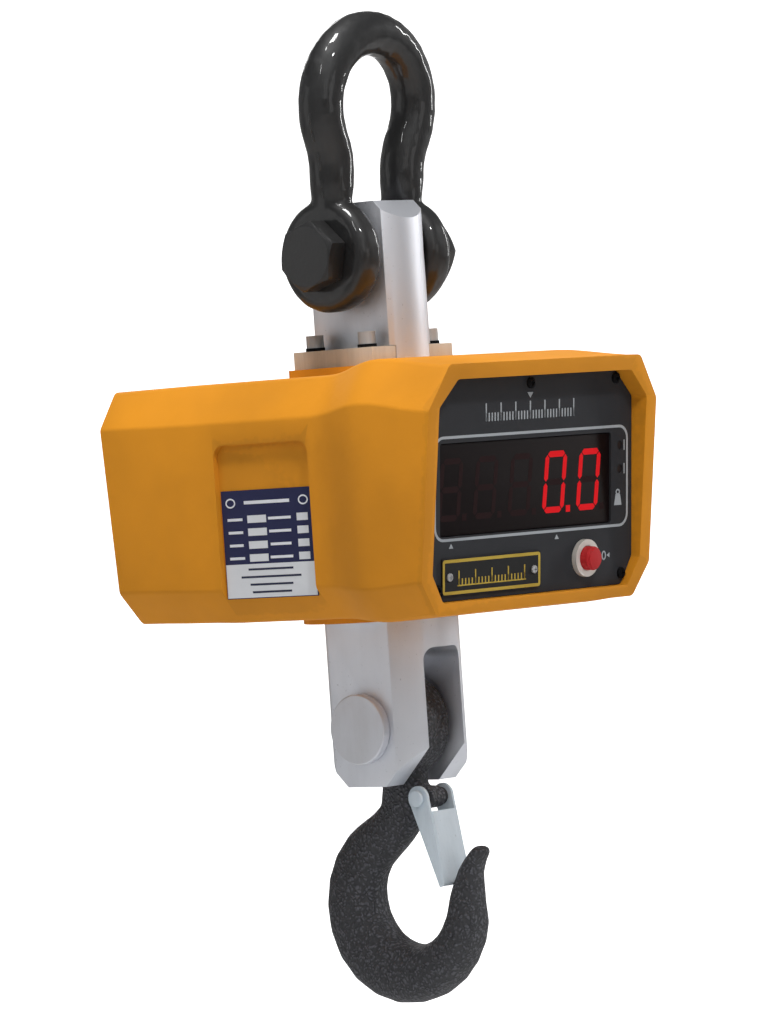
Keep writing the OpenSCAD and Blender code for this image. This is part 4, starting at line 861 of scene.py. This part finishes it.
@dataclass
class Display(SubAssembly):
    """Front panel's printing, the digits and the nameplate."""

    rides: Rides = Rides.SCALE
    skins: tuple = (SoftEdges("display_window", 0.0003),)
    grid: BarGrid | None = None
    digit_size: Point = (13.6, 26.6)
    digit_pitch: float = 25.95
    first_digit: float = -58.4
    band: float = 2.9
    lean: float = 0.11

    def segment(self, sheet: Sheet, digit: int, name: str) -> None:
        """Adds one segment of one digit to a sheet."""
        across, up, upright = SEGMENTS[name]
        wide, high = self.digit_size
        x, z = across * wide / 2, up * high / 2
        reach, half = (high / 4 if upright else wide / 2) - 0.35, self.band / 2
        line = [(-reach, 0), (-reach + half, half), (reach - half, half), (reach, 0), (reach - half, -half),
                (-reach + half, -half)]
        points = [(x + b, z + a) if upright else (x + a, z + b) for a, b in line]
        middle = self.first_digit + digit * self.digit_pitch
        sheet.polygon([(middle + px + pz * self.lean, pz) for px, pz in points])

    def digits(self) -> None:
        """Builds the lit and the dark segments, and the point."""
        glass = -local_box("display_window", PANEL)[0].y
        lit, dark = Sheet(PANEL, glass + 0.06), Sheet(PANEL, glass + 0.03)
        count, lit_from = 5, 3
        for digit in range(count):
            for name in SEGMENTS:
                on = digit >= lit_from and name != "g"
                self.segment(lit if on else dark, digit, name)
            x = self.first_digit + (digit + 0.43) * self.digit_pitch
            (lit if digit == lit_from else dark).bar(x - 1.0, -self.digit_size[1] / 2, 3.2, 3.2)
        seat("digits_lit", lit.mesh("digits_lit"), LIT, self.rides)
        seat("digits_dark", dark.mesh("digits_dark"), GHOST, self.rides)

    def printing(self) -> None:
        """Builds the border, the symbols and the ticks."""
        ink = Sheet(PANEL, 0.06)
        outline = box_outline((-70.7, 74.5), (-23.4, 24.6), 6)
        ink.ribbon(outline, 1.3, True)
        for x in (-59.0, 20.0):
            ink.polygon([(x - 1.6, -27.4), (x + 1.6, -27.4), (x, -25.2)])
        for z in (15.4, 4.0):
            ink.bar(72.2, z, 0.7, 5.0)
        ink.polygon([(64.4, -13.6), (70.2, -13.6), (69.0, -8.2), (65.6, -8.2)])
        ink.ring(67.3, -7.2, 2.6, 2.2, 0.7)
        ink.ring(56.4, -37.4, 2.6, 3.8, 0.7)
        for side in (-1, 1):
            tip = 56.4 + side * 2.2
            ink.polygon([(tip, -37.4), (tip + side * 2.2, -36.2), (tip + side * 2.2, -38.6)])
        ink.polygon([(-2.2, 43.6), (2.2, 43.6), (0, 40.9)])
        seat("panel_print", ink.mesh("panel_print"), INK, self.rides)
        for name, columns, high in (("panel_short_ticks", 31, 4.0), ("panel_long_ticks", 7, 8.5)):
            self.grid.build(name, PANEL, (0.0, 31.0 + high / 2), INK, self.rides, Columns=columns, Rows=1,
                            Across=66.0, Up=0.0, Bar_Size=(0.9, 0.14, high), Shortest=1.0, Seed=1)

    def nameplate(self) -> None:
        """Builds the brass border and the ruler on the nameplate."""
        low, high = local_box("nameplate", PANEL)
        x0, x1, z0, z1 = low.x, high.x, low.z, high.z
        brass = Sheet(PANEL, 0.05 - low.y)
        edge = 0.9
        brass.ribbon(
            box_outline((x0 + edge, x1 - edge), (z0 + edge + 0.3, z1 - edge - 0.3), 0.8, 3), 1.5, True)
        middle, wide = (x0 + x1) / 2, x1 - x0
        floor = (z0 + z1) / 2 - 4.2
        brass.bar(middle, floor, wide - 22, 0.6)
        seat("nameplate_brass", brass.mesh("nameplate_brass"), BRASS, self.rides)
        face = PANEL @ Matrix.Translation((0, low.y * MM, 0))
        for name, columns, tall in (("nameplate_short_ticks", 21, 3.2), ("nameplate_long_ticks", 5, 7.0)):
            self.grid.build(name, face, (middle, floor + tall / 2), BRASS, self.rides, Columns=columns,
                            Rows=1, Across=wide - 24, Up=0.0, Bar_Size=(0.8, 0.14, tall), Shortest=1.0, Seed=1)

    def build(self) -> None:
        """Makes every printed and lit piece."""
        super().build()
        self.digits()
        self.printing()
        self.nameplate()


@dataclass
class PushButton(SubAssembly):
    """Red push button."""

    rides: Rides = Rides.BUTTON
    skins: tuple = (SoftEdges("zero_button", 0.0007),)


@dataclass
class Hook(SubAssembly):
    """Eye hook with its latch spring and raised marks."""

    rides: Rides = Rides.HOOK
    skins: tuple = (CastSkin("eye_hook", 0.00085, 10, 0.0002, 0.008),)

    def build(self) -> None:
        """Adds the raised marks round the bowl and the coil of the spring."""
        super().build()
        low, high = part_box("eye_hook")
        middle = Vector((low.x - 0.02, 0.0073, -0.4105))
        starts = [
            middle + Vector((0, math.cos(math.radians(a)), math.sin(math.radians(a)))) * 0.034
            for a in range(205, 330, 13)
        ]
        RaisedMarks().build("hook_marks", self.made["eye_hook"], starts, Vector((1, 0, 0)),
                            Vector((4.2, 4.2, 1.6)) * MM, "hammered_black", self.rides)
        self.spring()

    def spring(self) -> None:
        """Winds the latch spring's two coils."""
        low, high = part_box("latch_spring")
        axis = (low + high) / 2
        wire, sides, turns, steps = 0.5 * MM, 8, 3, 28
        radius = (high.z - low.z) / 2 - wire
        shape = bmesh.new()
        for side in (-1, 1):
            start, end = side * 0.0062, side * (high.x - wire)
            rings = []
            for k in range(turns * steps + 1):
                t = math.tau * k / steps
                out = Vector((0, math.cos(t), math.sin(t)))
                spot = Vector((start + (end - start) * k / (turns * steps), axis.y, axis.z)) + out * radius
                ring = [
                    shape.verts.new(spot + wire * (out * math.cos(s) + Vector((1, 0, 0)) * math.sin(s)))
                    for s in (math.tau * j / sides for j in range(sides))
                ]
                rings.append(ring)
            for a, b in zip(rings, rings[1:]):
                for j in range(sides):
                    shape.faces.new((a[j], a[(j + 1) % sides], b[(j + 1) % sides], b[j]))
            shape.faces.new(rings[0])
            shape.faces.new(rings[-1])
        bmesh.ops.recalc_face_normals(shape, faces=shape.faces)
        mesh = bpy.data.meshes.new("latch_spring_coil")
        shape.to_mesh(mesh)
        shape.free()
        mesh.shade_smooth()
        seat("latch_spring_coil", mesh, SLOTS["spring_steel"], self.rides, "spring_steel", ["latch_spring"])


@dataclass
class Latch(SubAssembly):
    """Bent sheet of the safety latch."""

    rides: Rides = Rides.LATCH
    skins: tuple = (SoftEdges("safety_latch", 0.0003),)


@dataclass(frozen=True)
class Softbox:
    """A rectangular studio light that points at the scale.

    Args:
        name: Name of the light.
        place: Where it stands, in metres.
        size: Width and height, in metres.
        power: Watts.
    """

    name: str
    place: tuple[float, float, float]
    size: Point
    power: float

    def build(self, target: Vector) -> None:
        """Adds the light."""
        data = bpy.data.lights.new(self.name, "AREA")
        data.shape, data.energy = "RECTANGLE", self.power
        data.size, data.size_y = self.size
        lamp = bpy.data.objects.new(self.name, data)
        lamp.location = self.place
        lamp.rotation_euler = (target - Vector(self.place)).to_track_quat("-Z", "Y").to_euler()
        bpy.context.scene.collection.objects.link(lamp)


@dataclass
class Studio:
    """Pale sweep, soft lights and the camera."""

    target: Vector = field(default_factory=lambda: Vector((0, 9.201, -219.558)) * MM)
    azimuth: float = -49.5
    elevation: float = 0.7
    roll: float = 3.9
    distance: float = 2.7645
    lens: float = 201.18
    floor: float = -1.05
    # Azimuth, width, distance and height of the top of each black panel
    flags: tuple[tuple[float, float, float, float], ...] = ((-30.0, 2.1, 4.9, -0.27), (50.0, 2.6, 3.8, 0.6))
    boxes: tuple[Softbox, ...] = (
        Softbox("key", (-0.9, -2.4, 2.2), (0.3, 0.3), 44),
        Softbox("fill", (2.9, -1.1, 0.5), (0.14, 1.6), 22),
        Softbox("front", (0.25, -4.7, 0.0), (1.6, 1.8), 8),
        Softbox("high", (-2.35, -4.07, 0.7), (2.0, 1.6), 5),
        Softbox("flank", (-2.3, 1.9, 0.0), (1.3, 2.2), 5.4),
        Softbox("left", (-2.5, -1.0, 1.9), (0.1, 0.9), 9),
        Softbox("top", (-0.6, -0.2, 2.4), (0.7, 0.7), 58),
        Softbox("rear", (1.4, 2.2, 1.0), (0.8, 0.8), 8),
    )

    def sweep(self) -> None:
        """Builds the floor, which curves up far away into a wall all round."""
        flat, bend, wall, sides, steps = 5.2, 1.2, 3.2, 96, 10
        floor = self.floor
        profile = [(0.0, floor), (flat, floor)]
        for k in range(1, steps + 1):
            t = math.pi / 2 * k / steps
            profile.append((flat + bend * math.sin(t), floor + bend * (1 - math.cos(t))))
        profile.append((flat + bend, floor + bend + wall))
        verts, faces = [], []
        for r, z in profile:
            verts += [
                (r * math.cos(math.tau * k / sides), r * math.sin(math.tau * k / sides), z)
                for k in range(sides)
            ]
        for p in range(len(profile) - 1):
            for k in range(sides):
                n = (k + 1) % sides
                faces.append((p * sides + k, p * sides + n, (p + 1) * sides + n, (p + 1) * sides + k))
        mesh = bpy.data.meshes.new("sweep")
        mesh.from_pydata(verts, [], faces)
        mesh.validate()
        mesh.shade_smooth()
        sweep = bpy.data.objects.new("sweep", mesh)
        bpy.context.scene.collection.objects.link(sweep)
        paper = moulded("e6e6e6", "dedede", 0.8, grain=0.2, wear=0.1, dust=0.0)
        mesh.materials.append(paper.material("paper"))

    def card(self, back: Vector) -> None:
        """Stands a lit white card far behind the scale, opposite the camera."""
        white = moulded("ffffff", "ffffff", 0.9, dust=0.0, glow=1.0)
        self.panel("card", self.target - back * 4.8, (1.2, 1.2), white)

    def panel(self, name: str, middle: Vector, half: Point, finish: Finish) -> bpy.types.Object:
        """Stands an upright panel that faces the scale."""
        side = (middle - self.target).cross(Vector((0, 0, 1))).normalized() * half[0]
        over = Vector((0, 0, half[1]))
        mesh = bpy.data.meshes.new(name)
        corners = [middle - side - over, middle + side - over, middle + side + over, middle - side + over]
        mesh.from_pydata([c[:] for c in corners], [], [(0, 1, 2, 3)])
        made = bpy.data.objects.new(name, mesh)
        bpy.context.scene.collection.objects.link(made)
        mesh.materials.append(finish.material(name))
        return made

    def dark_flags(self) -> None:
        """Stands black panels beside the lights, which the bright metal mirrors as dark streaks."""
        black = moulded("0a0a0a", "101010", 0.9, dust=0.0)
        for k, (azimuth, wide, away, top) in enumerate(self.flags):
            a = math.radians(azimuth)
            middle = self.target + Vector((math.sin(a), -math.cos(a), 0)) * away
            middle.z = (top + self.floor) / 2
            self.panel(f"flag_{k}", middle, (wide / 2, (top - self.floor) / 2), black).visible_camera = False

    def camera(self) -> None:
        """Sets the camera at the view of the front and left side."""
        a, e, r = (math.radians(v) for v in (self.azimuth, self.elevation, self.roll))
        back = Vector((math.sin(a) * math.cos(e), -math.cos(a) * math.cos(e), math.sin(e)))
        level = (-back).cross(Vector((0, 0, 1))).normalized()
        over = level.cross(-back)
        right, up = level * math.cos(r) - over * math.sin(r), over * math.cos(r) + level * math.sin(r)
        data = bpy.data.cameras.new("camera")
        data.lens, data.clip_end = self.lens, 40
        cam = bpy.data.objects.new("camera", data)
        pose = Matrix((right, up, back)).transposed().to_4x4()
        pose.translation = self.target + back * self.distance
        cam.matrix_world = pose
        bpy.context.scene.collection.objects.link(cam)
        bpy.context.scene.camera = cam
        self.card(back)

    def build(self) -> None:
        """Builds the whole studio."""
        self.sweep()
        self.camera()
        self.dark_flags()
        for softbox in self.boxes:
            softbox.build(self.target)
        world = bpy.data.worlds.new("studio")
        world.use_nodes = True
        world.node_tree.nodes["Background"].inputs["Color"].default_value = (1.0, 1.0, 1.0, 1.0)
        world.node_tree.nodes["Background"].inputs["Strength"].default_value = 0.1
        bpy.context.scene.world = world
        bpy.context.scene.view_settings.view_transform = "Standard"


def dress_cad_nodes() -> None:
    """Gives each CAD node the finish of its slot in the record."""
    for row in frame["record"]["subparts"]:
        node = frame["nodes"][row["node"]]
        node.data.materials.clear()
        node.data.materials.append(SLOTS[row["material_slot"]].material(row["material_slot"]))


def main() -> None:
    """Builds the scale and the studio."""
    logging.basicConfig(level=logging.INFO, format="%(name)s: %(message)s")
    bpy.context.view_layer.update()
    dress_cad_nodes()
    grid = BarGrid()
    for part in (HangingEnd(), LoadBar(), Housing(grid=grid), Display(grid=grid), PushButton(), Hook(),
                 Latch()):
        part.build()
    Studio().build()


if __name__ == "__main__":
    main()
